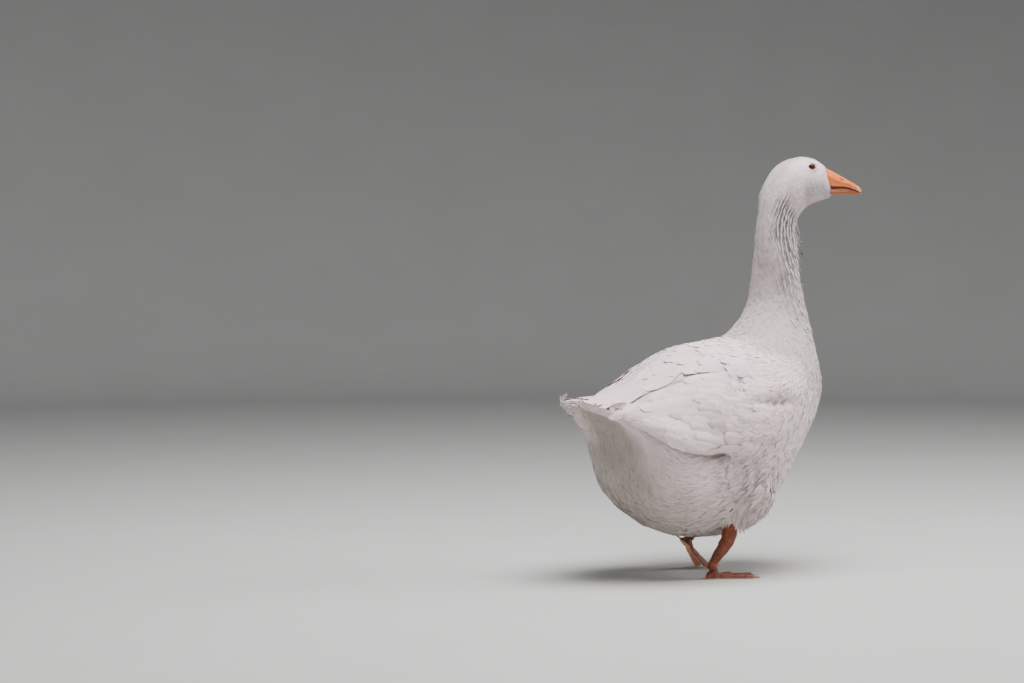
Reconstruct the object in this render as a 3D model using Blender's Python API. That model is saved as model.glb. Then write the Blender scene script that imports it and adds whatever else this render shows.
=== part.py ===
"""A white domestic goose in mid-stride, life size, as a still museum model.

Metres, +Z up, +X the way the goose walks, +Y its left. The origin is on the floor, under the
middle of the whole model's box. The body is one lofted shape, parted with thin cuts into tail,
trunk, neck and head. Wings, thighs, shanks, feet, claws, bill and eyes are fitted to it.
"""

import math
from typing import NamedTuple

import bmesh
import bpy
import numpy as np

# ---- driving dimensions ------------------------------------------------------------------
UP, AHEAD = (0.0, 0.0, 1.0), (1.0, 0.0, 0.0)
GAP = 0.0003  # clearance between neighbouring pieces
CUT_STEP = 0.0045  # half of that clearance, in stations of the body
RING_SIDES = 28  # points round the body

HEAD_TURN = math.radians(-38)  # the head looks to the goose's right
NECK_AXIS_X = 0.204  # the upright neck, ahead of the standing foot
NECK_TURN_STARTS, NECK_TURN_ENDS = 0.50, 0.69  # heights between which the neck turns

BILL_LENGTH = 0.0655
BILL_DROP = math.radians(13.9)
# From the face to the tip: heights over the bill's base line, and half widths.
CULMEN = (0.0270, 0.0218, 0.0170, 0.0122, 0.0077, 0.0015)
MOUTH = (-0.0135, -0.0105, -0.0065, -0.0042, -0.0048, -0.0058)
MOUTH_GAP = 0.0010
CHIN = (-0.0265, -0.0228, -0.0190, -0.0155, -0.0122, -0.0090)
UPPER_WIDTHS = (0.0200, 0.0184, 0.0168, 0.0154, 0.0130, 0.0060)
LOWER_WIDTHS = (0.0180, 0.0162, 0.0146, 0.0130, 0.0106, 0.0045)
NOSTRIL_SLOPE = math.radians(29)
NOSTRIL_SIZE = (0.0060, 0.030, 0.0013)
NOSTRIL = (0.3292, 0.0, 0.7458)
EYE = (0.2710, 0.0250, 0.7685)
EYE_RADIUS = 0.0078

SHANK_RADIUS = 0.0074
SHANK_RISE = 0.014  # how far the shank stands square to its foot before it bends to the ankle
KNUCKLE_RADIUS, KNUCKLE_HEIGHT = 0.0105, 0.0165
TOE_RADIUS = 0.0056
HIND_TOE = 0.0185
WEB_THICKNESS, WEB_LIFT = 0.0016, 0.0012
WEB_EDGE, WEB_HOLLOW = 0.009, 0.014  # how far the web's edge ends behind the toes' tips, and its hollow
TOE_FLAT = 0.80  # the share of a toe behind its end that lies flat when the heel is up
CLAW_LENGTH = 0.009

WING_EDGE, WING_BED = 0.004, 0.006  # how thick the wing's edge is, and how far it starts inside the body
# The folded wing from shoulder to tip: station, lower and upper edge as angles, thickness.
WING = np.array([
    (10.9, -0.10, 0.35, 0.006),
    (9.9, -0.26, 0.72, 0.011),
    (8.6, -0.22, 0.94, 0.013),
    (7.2, -0.12, 1.02, 0.013),
    (5.8, -0.08, 1.00, 0.012),
    (4.6, -0.03, 0.92, 0.010),
    (3.5, 0.06, 0.90, 0.008),
    (2.2, 0.30, 1.00, 0.004),
])


class Colour(NamedTuple):
    """A Principled finish: base colour, roughness and metallic."""

    base: tuple
    roughness: float
    metallic: float = 0.0


FEATHER = Colour((0.86, 0.83, 0.80), 0.85)
BILL_HORN = Colour((0.85, 0.36, 0.12), 0.40)
LEG_SKIN = Colour((0.72, 0.25, 0.09), 0.55)
CLAW_HORN = Colour((0.42, 0.33, 0.26), 0.45)
EYE_GLOSS = Colour((0.10, 0.035, 0.02), 0.08)


class Station(NamedTuple):
    """One cross-section of the body in its middle plane.

    back and belly are (x, z) of its upper and lower ends, half_width its widest reach to a side,
    widest the share of the way down from back to belly where that is, and upper and lower are
    superellipse powers: 2 is round, under 2 is roof-shaped, over 2 is boxy.
    """

    back: tuple
    belly: tuple
    half_width: float
    widest: float
    upper: float = 2.0
    lower: float = 2.0


# From the tail's tip, over rump, trunk, chest and neck, to the face where the bill begins.
STATIONS = [
    Station((-0.284, 0.339), (-0.282, 0.331), 0.040, 0.60),
    Station((-0.272, 0.341), (-0.266, 0.319), 0.052, 0.66),
    Station((-0.240, 0.341), (-0.226, 0.295), 0.070, 0.70, 1.9),
    Station((-0.205, 0.344), (-0.186, 0.257), 0.090, 0.64, 1.8),
    Station((-0.168, 0.356), (-0.172, 0.196), 0.109, 0.53, 1.9, 2.3),
    Station((-0.122, 0.381), (-0.148, 0.137), 0.127, 0.50, 2.0, 2.3),
    Station((-0.070, 0.418), (-0.087, 0.092), 0.138, 0.50, 2.0, 2.2),
    Station((-0.005, 0.438), (-0.010, 0.072), 0.143, 0.48),
    Station((0.045, 0.444), (0.060, 0.074), 0.142, 0.47),
    Station((0.092, 0.450), (0.120, 0.098), 0.135, 0.46),
    Station((0.122, 0.464), (0.172, 0.148), 0.127, 0.46),
    Station((0.145, 0.484), (0.228, 0.222), 0.116, 0.48),
    Station((0.162, 0.508), (0.274, 0.302), 0.101, 0.50),
    Station((0.169, 0.536), (0.270, 0.378), 0.081, 0.50),
    Station((0.171, 0.566), (0.260, 0.455), 0.066, 0.50),
    Station((0.169, 0.602), (0.249, 0.535), 0.052, 0.50),
    Station((0.168, 0.642), (0.244, 0.610), 0.044, 0.50),
    Station((0.171, 0.682), (0.242, 0.656), 0.041, 0.50),
    Station((0.1745, 0.717), (0.248, 0.676), 0.040, 0.47),
    Station((0.1865, 0.749), (0.258, 0.690), 0.039, 0.46),
    Station((0.2085, 0.7755), (0.268, 0.698), 0.0375, 0.46),
    Station((0.241, 0.788), (0.281, 0.703), 0.0350, 0.48),
    Station((0.272, 0.786), (0.294, 0.708), 0.0305, 0.52),
    Station((0.296, 0.7705), (0.309, 0.714), 0.0225, 0.56),
]
TAIL_CUT, NECK_CUT, HEAD_CUT = 3.2, 12.6, 17.4  # where the body is parted, in stations


# ---- curves and lofts --------------------------------------------------------------------
def smooth_curve(values, places):
    """Catmull-Rom spline through values, one a unit step, read at places."""
    values = np.asarray(values, float)
    ends = np.vstack([2 * values[0] - values[1], values, 2 * values[-1] - values[-2]])
    step = np.clip(np.floor(places).astype(int), 0, len(values) - 2)
    t = (places - step)[:, None]
    a, b, c, d = (ends[step + k] for k in range(4))
    return 0.5 * (2 * b + (c - a) * t + (2 * a - 5 * b + 4 * c - d) * t**2 + (3 * b - a - 3 * c + d) * t**3)


def ease(low, high, value):
    """0 below low, 1 above high, and smooth between."""
    t = np.clip((value - low) / (high - low), 0, 1)
    return t * t * (3 - 2 * t)


def turned(points, axis_x, axis_y, angles):
    """Points turned about an upright line, each by its own angle."""
    x, y = points[..., 0] - axis_x, points[..., 1] - axis_y
    c, s = np.cos(angles), np.sin(angles)
    return np.stack([axis_x + x * c - y * s, axis_y + x * s + y * c, points[..., 2]], -1)


def head_turn(heights):
    """The neck's turn at these heights."""
    return HEAD_TURN * ease(NECK_TURN_STARTS, NECK_TURN_ENDS, heights)


def body_points(places, angles, grow=0.0):
    """The body's surface at these stations and angles; angle 0 is the left side, a quarter turn the back."""
    table = [(*s.back, *s.belly, s.half_width, s.widest, s.upper, s.lower) for s in STATIONS]
    row = smooth_curve(table, places)[:, None, :]
    back, belly = row[..., 0:2], row[..., 2:4]
    middle = back + row[..., 5:6] * (belly - back)
    depth = np.linalg.norm(belly - back, axis=-1)
    up = (back - belly) / depth[..., None]
    c, s = np.cos(angles)[None, :], np.sin(angles)[None, :]
    power = np.where(s > 0, row[..., 6], row[..., 7])
    reach = np.where(s > 0, row[..., 5], 1 - row[..., 5]) * depth + grow
    side = (row[..., 4] + grow) * np.sign(c) * np.abs(c) ** (2 / power)
    rise = reach * np.sign(s) * np.abs(s) ** (2 / power)
    x = middle[..., 0] + rise * up[..., 0]
    z = middle[..., 1] + rise * up[..., 1]
    level = np.broadcast_to(middle[..., 1], x.shape)
    return turned(np.stack([x, side, z], -1), NECK_AXIS_X, 0.0, head_turn(level))


def loft(name, rings, finish, parent):
    """A closed solid of triangles through rings of points, all of one length, with flat ends."""
    mesh = bmesh.new()
    loops = [[mesh.verts.new(p) for p in ring] for ring in rings]
    for near, far in zip(loops, loops[1:]):
        for k in range(len(near)):
            m = (k + 1) % len(near)
            mesh.faces.new((near[k], near[m], far[m]))
            mesh.faces.new((near[k], far[m], far[k]))
    mesh.faces.new(loops[0][::-1])
    mesh.faces.new(loops[-1])
    return solid(name, mesh, finish, parent)


def solid(name, mesh, finish, parent):
    """Makes a bmesh an object whose faces point out, with its own material."""
    bmesh.ops.recalc_face_normals(mesh, faces=mesh.faces)
    if mesh.calc_volume(signed=True) < 0:
        bmesh.ops.reverse_faces(mesh, faces=mesh.faces)
    data = bpy.data.meshes.new(name)
    mesh.to_mesh(data)
    mesh.free()
    data.shade_smooth()
    material = bpy.data.materials.new(name)
    material.use_nodes = True
    shader = material.node_tree.nodes["Principled BSDF"]
    shader.inputs["Base Color"].default_value = (*finish.base, 1.0)
    shader.inputs["Roughness"].default_value = finish.roughness
    shader.inputs["Metallic"].default_value = finish.metallic
    data.materials.append(material)
    made = bpy.data.objects.new(name, data)
    made.parent = parent
    bpy.context.scene.collection.objects.link(made)
    return made


def tube_rings(path, wide, deep, sides, over, forward=None):
    """Rings of an elliptical tube along a path, deep towards over and wide across it.

    forward, if given, faces every ring the same way.
    """
    path = np.asarray(path, float)
    along = np.gradient(path, axis=0) if forward is None else np.ones_like(path) * forward
    along /= np.linalg.norm(along, axis=1)[:, None]
    side = np.cross(np.asarray(over, float), along)
    side /= np.linalg.norm(side, axis=1)[:, None]
    over = np.cross(along, side)
    angles = np.arange(sides) * 2 * math.pi / sides
    wide, deep = np.broadcast_to(wide, len(path)), np.broadcast_to(deep, len(path))
    return (
        path[:, None]
        + wide[:, None, None] * np.cos(angles)[None, :, None] * side[:, None]
        + deep[:, None, None] * np.sin(angles)[None, :, None] * over[:, None]
    )


def cut(piece, cutter):
    """Takes the cutter's shape out of the piece."""
    modifier = piece.modifiers.new("clearance", "BOOLEAN")
    modifier.operation = "DIFFERENCE"
    modifier.object = cutter


def helper(piece):
    """A shape that only cuts, and isn't part of the model."""
    piece.hide_render = True
    piece.display_type = "WIRE"
    return piece


# ---- the body ----------------------------------------------------------------------------
def body_segment(name, places, parent, grow=0.0):
    """The part of the body through these places, with a flat face at each end."""
    angles = np.arange(RING_SIDES) * 2 * math.pi / RING_SIDES
    return loft(name, body_points(places, angles, grow), FEATHER, parent)


def build_body(parent):
    """Tail, trunk, neck and head, and the shape that clears them."""
    tail = np.linspace(0.0, TAIL_CUT - CUT_STEP, 8)
    trunk = np.linspace(TAIL_CUT + CUT_STEP, NECK_CUT - CUT_STEP, 18)
    body_segment("tail", tail, parent)
    body_segment("trunk", trunk, parent)
    body_segment("neck", np.linspace(NECK_CUT + CUT_STEP, HEAD_CUT - CUT_STEP, 9), parent)
    head = body_segment("head", np.linspace(HEAD_CUT + CUT_STEP, len(STATIONS) - 1.0, 13), parent)
    clearance = helper(body_segment("body_clearance", np.concatenate([tail, trunk]), parent, 1.2 * GAP))
    return head, clearance


# ---- wings -------------------------------------------------------------------------------
def build_wing(name, side, clearance, parent):
    """A folded wing: a shell over the body's side, from the shoulder to the tips over the rump.

    It runs along the stations from shoulder to tip. Its upper and lower edges are angles round
    the body, and it stands proud of the body by a thickness that is blunt at the edges.
    """
    rows, columns = 15, 8
    run = np.linspace(0, 1, rows)
    knots = run * (len(WING) - 1)
    place, lower, upper, proud = smooth_curve(WING, knots).T
    across = np.linspace(0, 1, columns)
    rings = []
    for k in range(rows):
        angles = lower[k] + (upper[k] - lower[k]) * across
        here = body_points(place[k : k + 1], angles)[0]
        outward = body_points(place[k : k + 1], angles, WING_EDGE)[0] - here
        outward /= np.linalg.norm(outward, axis=1)[:, None]
        crown = np.sin(math.pi * across) ** 0.5
        top = here + outward * (WING_EDGE + proud[k] * crown)[:, None]
        rings.append(np.vstack([top, (here - outward * WING_BED)[::-1]]))
    rings = np.array(rings)
    rings[..., 1] *= side
    cut(loft(name, rings, FEATHER, parent), clearance)


# ---- bill and eyes -----------------------------------------------------------------------
def turn_head(points):
    """Points of the head's own pieces, turned as the head is."""
    points = np.asarray(points, float)
    return turned(points, NECK_AXIS_X, 0.0, np.full(points.shape[:-1], HEAD_TURN))


def bill_half(name, top_line, bottom_line, widths, powers, parent):
    """One half of the bill: sections from the face to the tip between a top and a bottom line.

    The lines are heights over a base line that runs from the face's middle to the tip.
    """
    face = STATIONS[-1]
    back, belly = np.array([face.back[0], 0, face.back[1]]), np.array([face.belly[0], 0, face.belly[1]])
    up = (back - belly) / np.linalg.norm(back - belly)
    start = (back + belly) / 2 + np.array([up[2], 0, -up[0]]) * GAP
    along = np.array([math.cos(BILL_DROP), 0, -math.sin(BILL_DROP)])
    count, sides = 9, 16
    run = np.linspace(0, 1, count)
    top, bottom, width = smooth_curve(np.array([top_line, bottom_line, widths]).T, run * (len(widths) - 1)).T
    angles = np.arange(sides) * 2 * math.pi / sides
    c, s = np.cos(angles), np.sin(angles)
    power = np.where(s > 0, powers[0], powers[1])
    across = width[:, None] * np.sign(c) * np.abs(c) ** (2 / power)
    height = (top + bottom)[:, None] / 2 + (top - bottom)[:, None] / 2 * np.sign(s) * np.abs(s) ** (2 / power)
    lean = up * (1 - run)[:, None] + np.array([0, 0, 1.0]) * run[:, None]
    rings = start + along * (run * BILL_LENGTH)[:, None, None] + lean[:, None] * height[..., None]
    rings = rings + np.array([0, 1.0, 0]) * across[..., None]
    return loft(name, turn_head(rings), BILL_HORN, parent)


def build_bill(parent):
    """Upper and lower bill, closed, with the mouth's line between them, and the nostril."""
    upper = bill_half("bill_upper", CULMEN, MOUTH, UPPER_WIDTHS, (1.9, 4.0), parent)
    bill_half("bill_lower", np.array(MOUTH) - MOUTH_GAP, CHIN, LOWER_WIDTHS, (4.0, 2.2), parent)
    mesh = bmesh.new()
    bmesh.ops.create_uvsphere(mesh, u_segments=12, v_segments=7, radius=1.0)
    nostril = helper(solid("nostril_cutter", mesh, BILL_HORN, parent))
    nostril.location = turn_head(NOSTRIL)
    nostril.rotation_euler = (0, NOSTRIL_SLOPE, HEAD_TURN)
    nostril.scale = NOSTRIL_SIZE
    cut(upper, nostril)


def build_eye(name, side, head, parent):
    """An eyeball set into the head, with its socket cut to clear it."""
    centre = turn_head((EYE[0], side * EYE[1], EYE[2]))
    for label, radius in ((name, EYE_RADIUS), (name + "_socket", EYE_RADIUS + GAP)):
        mesh = bmesh.new()
        bmesh.ops.create_uvsphere(mesh, u_segments=12, v_segments=8, radius=radius)
        ball = solid(label, mesh, EYE_GLOSS, parent)
        ball.location = centre
    cut(head, helper(ball))


# ---- legs --------------------------------------------------------------------------------
class Leg(NamedTuple):
    """A leg's joints from the hip down, where its foot stands, the foot's heading and its heel's lift."""

    name: str
    hip: tuple
    cuff: tuple
    ankle: tuple
    foot: tuple
    outward: int
    heading: float
    heel: float


class Toe(NamedTuple):
    """A front toe: its bearing from straight ahead, positive outward, and its length."""

    name: str
    bearing: float
    length: float


LEGS = (
    Leg("right", (0.076, -0.090, 0.180), (0.031, -0.084, 0.104), (0.026, -0.079, 0.071),
        (0.000, -0.070), -1, math.radians(-4), 0.0),
    Leg("left", (0.084, 0.090, 0.180), (0.060, 0.080, 0.101), (0.055, 0.0745, 0.086),
        (0.034, 0.060), 1, math.radians(3), 0.046),
)
TOES = (
    Toe("inner", math.radians(-27), 0.064),
    Toe("middle", 0.0, 0.086),
    Toe("outer", math.radians(26), 0.078),
)


def foot_outline(bearings):
    """How far the foot reaches at these bearings: toes with round ends, webs hollow between them."""
    reach = np.full(len(bearings), KNUCKLE_RADIUS)
    for toe in (*TOES, Toe("hind", math.pi, HIND_TOE)):
        off = np.abs((bearings - toe.bearing + math.pi) % (2 * math.pi) - math.pi)
        sine, cosine = np.sin(off), np.cos(off)
        inner = toe.length - TOE_RADIUS
        tip = inner * cosine + np.sqrt(np.clip(TOE_RADIUS**2 - (inner * sine) ** 2, 0, None))
        flank = TOE_RADIUS / np.maximum(sine, 1e-6)
        shape = np.where(inner * sine < TOE_RADIUS, np.minimum(tip, toe.length), np.minimum(flank, inner))
        reach = np.maximum(reach, np.where(off < math.pi / 2, shape, 0.0))
    for near, far in zip(TOES, TOES[1:]):
        share = (bearings - near.bearing) / (far.bearing - near.bearing)
        edge = near.length + (far.length - near.length) * share - WEB_EDGE - WEB_HOLLOW * np.sin(math.pi * share)
        reach = np.maximum(reach, np.where((share > 0) & (share < 1), edge, 0.0))
    return reach


def foot_point(leg, reach, bearing, height):
    """A point of the foot in the model: bearing and reach from the joint, height over the sole.

    With the heel lifted, the sole slopes from the joint down to the toes' ends, which stay level
    on the floor whatever the toe's length.
    """
    front = np.abs(bearing) < 1.0
    length = np.interp(bearing, [t.bearing for t in TOES], [t.length for t in TOES])
    length = np.where(front, length, TOES[1].length)
    ahead = np.where(front, reach, reach * np.cos(bearing))
    share = ahead / length
    bend = 0.1  # half of the bend between slope and flat end, as a share of TOE_FLAT
    starts, ends = TOE_FLAT * (1 - bend), TOE_FLAT * (1 + bend)
    drop = np.where(share < starts, 1 - share / TOE_FLAT, bend * (1 - ease(starts, ends, share)))
    steep = leg.heel / (TOE_FLAT * length)
    slope = np.where(share < TOE_FLAT, steep, 0.0)
    lean = slope / np.sqrt(1 + slope**2)
    drawn_in = TOE_FLAT * length * (1 - 1 / np.sqrt(1 + steep**2))
    ground = np.where(share < TOE_FLAT, reach * np.sqrt(1 - lean**2), reach - drawn_in)
    x = ground * np.cos(bearing) + height * lean
    y = ground * np.sin(bearing) * leg.outward
    z = leg.heel * drop + height * np.sqrt(1 - lean**2)
    c, s = math.cos(leg.heading), math.sin(leg.heading)
    return np.stack([leg.foot[0] + x * c - y * s, leg.foot[1] + x * s + y * c, z], -1)


def build_foot(leg, parent):
    """A webbed foot: rings of growing reach round the joint, above over toes and web, below flat."""
    sides = np.radians([2.2, 4.4, 7.5, 12.0, 20.0, 34.0])
    between = np.radians([2.2, 4.6, 9.0, 13.5, 18.0, 22.0, 24.4])
    inner, middle, outer = (toe.bearing for toe in TOES)
    rear = np.radians([80, 108, 136, 160, 172, 180, 188, 200, 224, 252, 280])
    bearing = np.concatenate([
        inner - sides[::-1], [inner], inner + between, [middle], middle + between, [outer], outer + sides, rear,
    ])
    bearing = (bearing + math.pi) % (2 * math.pi) - math.pi
    outline = foot_outline(bearing)
    above, below = [], []
    for share in (0.10, 0.22, 0.40, 0.60, 0.80, 0.93, 1.0):
        reach = outline * share
        ridge = np.zeros(len(bearing))
        for toe in (*TOES, Toe("hind", math.pi, HIND_TOE)):
            off = np.abs((bearing - toe.bearing + math.pi) % (2 * math.pi) - math.pi)
            offside = reach * np.sin(np.minimum(off, math.pi / 2))
            along = np.clip(reach * np.cos(off) / toe.length, 0, 1)
            crest = (0.0100 - 0.0035 * along) * np.sqrt(np.clip(1 - (offside / (TOE_RADIUS * 1.05)) ** 2, 0, 1))
            ridge = np.maximum(ridge, np.where(off < math.pi / 2, crest, 0.0))
        knuckle = KNUCKLE_HEIGHT * np.sqrt(np.clip(1 - (reach / 0.016) ** 2, 0, 1))
        top = np.maximum(np.maximum(ridge, knuckle), WEB_LIFT + WEB_THICKNESS)
        top = np.where(share < 1, top, np.minimum(top, 0.0036))
        behind = np.abs(bearing) > 1.0
        pad = np.min([reach * np.abs(np.sin(bearing - toe.bearing)) for toe in TOES], axis=0)
        pad = np.where(behind, reach * np.abs(np.sin(bearing)) + 0.5 * (KNUCKLE_RADIUS - reach).clip(0), pad)
        bottom = 0.0010 * ease(0.0022, 0.0050, pad)
        bottom = np.where(share < 1, bottom, np.maximum(bottom, 0.0008))
        above.append(foot_point(leg, reach, bearing, top))
        below.append(foot_point(leg, reach, bearing, bottom))
    loft("foot_" + leg.name, [*above, *below[::-1]], LEG_SKIN, parent)


def build_claws(leg, parent):
    """A short curved claw ahead of each toe, clear of the floor."""
    run = np.linspace(0, 1, 5)
    for toe in (*TOES, Toe("hind", math.pi, HIND_TOE)):
        start, base = (toe.length + 2 * GAP, 0.0023) if toe.name != "hind" else (toe.length + 5 * GAP, 0.0017)
        reach = start + CLAW_LENGTH * run
        height = 0.0034 - 0.0016 * run**1.5
        centre = foot_point(leg, reach, np.full(5, toe.bearing), height)
        radius = base - (base - 0.0007) * run**1.3
        way = centre[-1] - centre[0]
        rings = tube_rings(centre, radius, radius, 8, UP, way)
        rings[..., 2] = np.maximum(rings[..., 2], 0.0004)
        loft(f"claw_{toe.name}_{leg.name}", rings, CLAW_HORN, parent)


def build_leg(leg, clearance, parent):
    """Feathered thigh, scaly shank, webbed foot and claws."""
    run = np.linspace(0, 1, 8)
    hip, cuff = np.array(leg.hip), np.array(leg.cuff)
    way = (cuff - hip) / np.linalg.norm(cuff - hip)
    path = hip + (cuff - hip) * run[:, None] + np.array([0.006, 0, 0]) * np.sin(math.pi * run)[:, None]
    girth = 0.045 - 0.026 * run**2.4
    girth[0] *= 0.75
    thigh = loft("thigh_" + leg.name, tube_rings(path, girth, girth * 1.15, 20, AHEAD, way), FEATHER, parent)
    cut(thigh, clearance)

    joint = foot_point(leg, np.zeros(2), np.zeros(2), KNUCKLE_HEIGHT + np.array([GAP, SHANK_RISE]))
    knots = [cuff + way * GAP, np.array(leg.ankle), joint[1], joint[0]]
    places = np.linspace(0, 3, 10)
    path = smooth_curve(knots, places)
    wide = smooth_curve([[0.0120], [0.0122], [SHANK_RADIUS], [0.0080]], places)[:, 0]
    rings = tube_rings(path, wide, wide * 1.2, 12, AHEAD)
    rings[0] = tube_rings(path[:1], wide[0], wide[0] * 1.2, 12, AHEAD, way)[0]
    rings[-1] = tube_rings(path[-1:], wide[-1], wide[-1] * 1.2, 12, AHEAD, joint[0] - joint[1])[0]
    cut(loft("shank_" + leg.name, rings, LEG_SKIN, parent), clearance)
    build_foot(leg, parent)
    build_claws(leg, parent)


def main():
    """Clears the scene, builds the goose, and centres it over the origin."""
    for old in list(bpy.data.objects):
        bpy.data.objects.remove(old)
    goose = bpy.data.objects.new("goose", None)
    bpy.context.scene.collection.objects.link(goose)
    head, clearance = build_body(goose)
    build_wing("wing_left", 1, clearance, goose)
    build_wing("wing_right", -1, clearance, goose)
    build_bill(goose)
    build_eye("eye_left", 1, head, goose)
    build_eye("eye_right", -1, head, goose)
    for leg in LEGS:
        build_leg(leg, clearance, goose)
    shown = [piece for piece in bpy.data.objects if piece.type == "MESH" and not piece.hide_render]
    corners = np.array([v.co for piece in shown for v in piece.data.vertices])
    middle = (corners.min(0) + corners.max(0)) / 2
    goose.location = (-middle[0], -middle[1], 0)


main()
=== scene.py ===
"""Looks of a white domestic goose in mid-stride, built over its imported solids.

The skin is one closed shape that follows the solids of flesh and lies inside them by the depth of
the plumage. Every feather is a thin vane of mesh that is rooted in the skin and laid along it.
Metres, +Z up, +X the way the goose walks, +Y its left.
"""

import logging
import math
from dataclasses import dataclass, field
from enum import Enum
from typing import Iterator, Optional, Sequence

import bpy
import numpy as np
from mathutils.kdtree import KDTree
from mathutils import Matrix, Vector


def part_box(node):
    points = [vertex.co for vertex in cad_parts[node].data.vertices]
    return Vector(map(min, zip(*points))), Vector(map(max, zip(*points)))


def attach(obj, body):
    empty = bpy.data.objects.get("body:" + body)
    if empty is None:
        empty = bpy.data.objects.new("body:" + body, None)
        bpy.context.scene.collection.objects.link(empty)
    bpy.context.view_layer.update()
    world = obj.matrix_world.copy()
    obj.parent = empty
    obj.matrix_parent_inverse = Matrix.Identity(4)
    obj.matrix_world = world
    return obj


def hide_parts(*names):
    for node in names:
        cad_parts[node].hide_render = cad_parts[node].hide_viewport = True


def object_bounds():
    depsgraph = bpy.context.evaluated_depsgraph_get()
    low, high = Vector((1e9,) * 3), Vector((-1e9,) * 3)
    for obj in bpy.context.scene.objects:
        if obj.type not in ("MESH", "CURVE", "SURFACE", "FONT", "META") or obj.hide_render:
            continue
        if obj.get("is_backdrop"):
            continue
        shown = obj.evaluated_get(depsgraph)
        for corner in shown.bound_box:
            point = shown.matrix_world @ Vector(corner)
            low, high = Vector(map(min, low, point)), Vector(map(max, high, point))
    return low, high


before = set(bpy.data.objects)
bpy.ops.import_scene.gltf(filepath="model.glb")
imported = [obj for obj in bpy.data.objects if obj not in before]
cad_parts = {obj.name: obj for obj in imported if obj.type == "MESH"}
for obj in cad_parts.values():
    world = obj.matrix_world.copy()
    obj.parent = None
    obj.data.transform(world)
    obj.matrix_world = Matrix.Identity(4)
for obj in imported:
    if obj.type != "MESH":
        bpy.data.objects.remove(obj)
CAD_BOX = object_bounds()
LOG = logging.getLogger("goose")

Array = np.ndarray
Pair = tuple[Array, Array]
Shape = Pair  # points, and faces as the numbers of their corners
Triple = tuple[Array, Array, Array]
Quad = tuple[Array, Array, Array, Array]
Colour = tuple[float, float, float]
Socket = bpy.types.NodeSocket
Knots = tuple[float, ...]
Table = tuple[Knots, Knots]  # stations, and the values there

UP = np.array([0.0, 0.0, 1.0])
LEFT = np.array([0.0, 1.0, 0.0])
FLESH = ("trunk", "neck", "head", "tail", "wing_left", "wing_right", "thigh_left", "thigh_right")
BARE = ("shank_left", "shank_right", "foot_left", "foot_right")


class Side(Enum):
    """The two sides of the goose."""

    LEFT = 1
    RIGHT = -1

    @property
    def label(self) -> str:
        """The side's name in lower case."""
        return self.name.lower()


class Tract(Enum):
    """The regions of the body plumage that are meshes of their own."""

    FACE = "face"
    NECK = "neck"
    BREAST = "breast"
    BACK = "back"
    FLANK = "flank"
    REAR = "rear"
    TAIL = "tail"
    THIGHS = "thighs"


# ---- arithmetic on whole arrays ----
def unit(vectors: Array) -> Array:
    """Vectors scaled to length 1."""
    return vectors / np.maximum(np.linalg.norm(vectors, axis=-1, keepdims=True), 1e-9)


def across_of(vectors: Array, normals: Array) -> Array:
    """Vectors with their part along the normals taken away, scaled to length 1."""
    return unit(vectors - (vectors * normals).sum(-1, keepdims=True) * normals)


def ease(none: float, full: float, value: Array) -> Array:
    """0 up to none, 1 from full on, and smooth between; none may be the higher of the two."""
    t = np.clip((value - none) / (full - none), 0.0, 1.0)
    return t * t * (3.0 - 2.0 * t)


def within(start: float, first: float, last: float, end: float, value: Array) -> Array:
    """0 up to start and from end on, 1 from first to last, and smooth between; rising or falling."""
    return ease(start, first, value) * ease(end, last, value)


def hill(value: Array, centre: float, reach: float) -> Array:
    """A bell over value: 1 at the centre, and exp(-(distance / reach) squared) elsewhere."""
    return np.exp(-(((value - centre) / reach) ** 2))


def blend(first: Array, second: Array, share: Array) -> Array:
    """The first where the share is 0, the second where it is 1, and a mixture between."""
    return first * (1 - share) + second * share


def ripple(points: Array, length: float, seed: int) -> Array:
    """Smooth noise between about -1 and 1: a mean of plane waves in random directions.

    Args:
        points: Where to read it, shaped (..., 3).
        length: The mean wavelength.
        seed: Which noise.

    Returns:
        A number for each point.
    """
    rng, waves, loudest = np.random.default_rng(seed), 9, 3.6
    ways = unit(rng.normal(size=(waves, 3))) * (2 * math.pi / (length * rng.uniform(0.6, 1.5, (waves, 1))))
    phases = rng.uniform(0, 2 * math.pi, waves)
    return np.sin(points @ ways.T + phases).sum(-1) / loudest


def curve_through(knots: Array, places: Array) -> Array:
    """A Catmull-Rom curve, whose last step is repeated beyond each end.

    Args:
        knots: What it runs through.
        places: Where to read it, counted in knots.

    Returns:
        The curve's values there.
    """
    ends = np.concatenate([[2 * knots[0] - knots[1]], knots, [2 * knots[-1] - knots[-2]]])
    step = np.clip(np.floor(places).astype(int), 0, len(knots) - 2)
    t = (places - step).reshape((-1,) + (1,) * (knots.ndim - 1))
    a, b, c, d = (ends[step + k] for k in range(4))
    return 0.5 * (2 * b + (c - a) * t + (2 * a - 5 * b + 4 * c - d) * t**2 + (3 * b - a - 3 * c + d) * t**3)


def vertex_normals(points: Array, triangles: Array) -> Array:
    """The mean of the normals of the triangles round each point, weighted by their area.

    Args:
        points: A mesh's points.
        triangles: Its faces.

    Returns:
        A direction for each point.
    """
    first, second, third = (points[triangles[:, corner]] for corner in range(3))
    normals = np.cross(second - first, third - first)
    total = np.zeros_like(points)
    for axis in range(3):
        for corner in range(3):
            total[:, axis] += np.bincount(triangles[:, corner], normals[:, axis], len(points))
    return unit(total)


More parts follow.
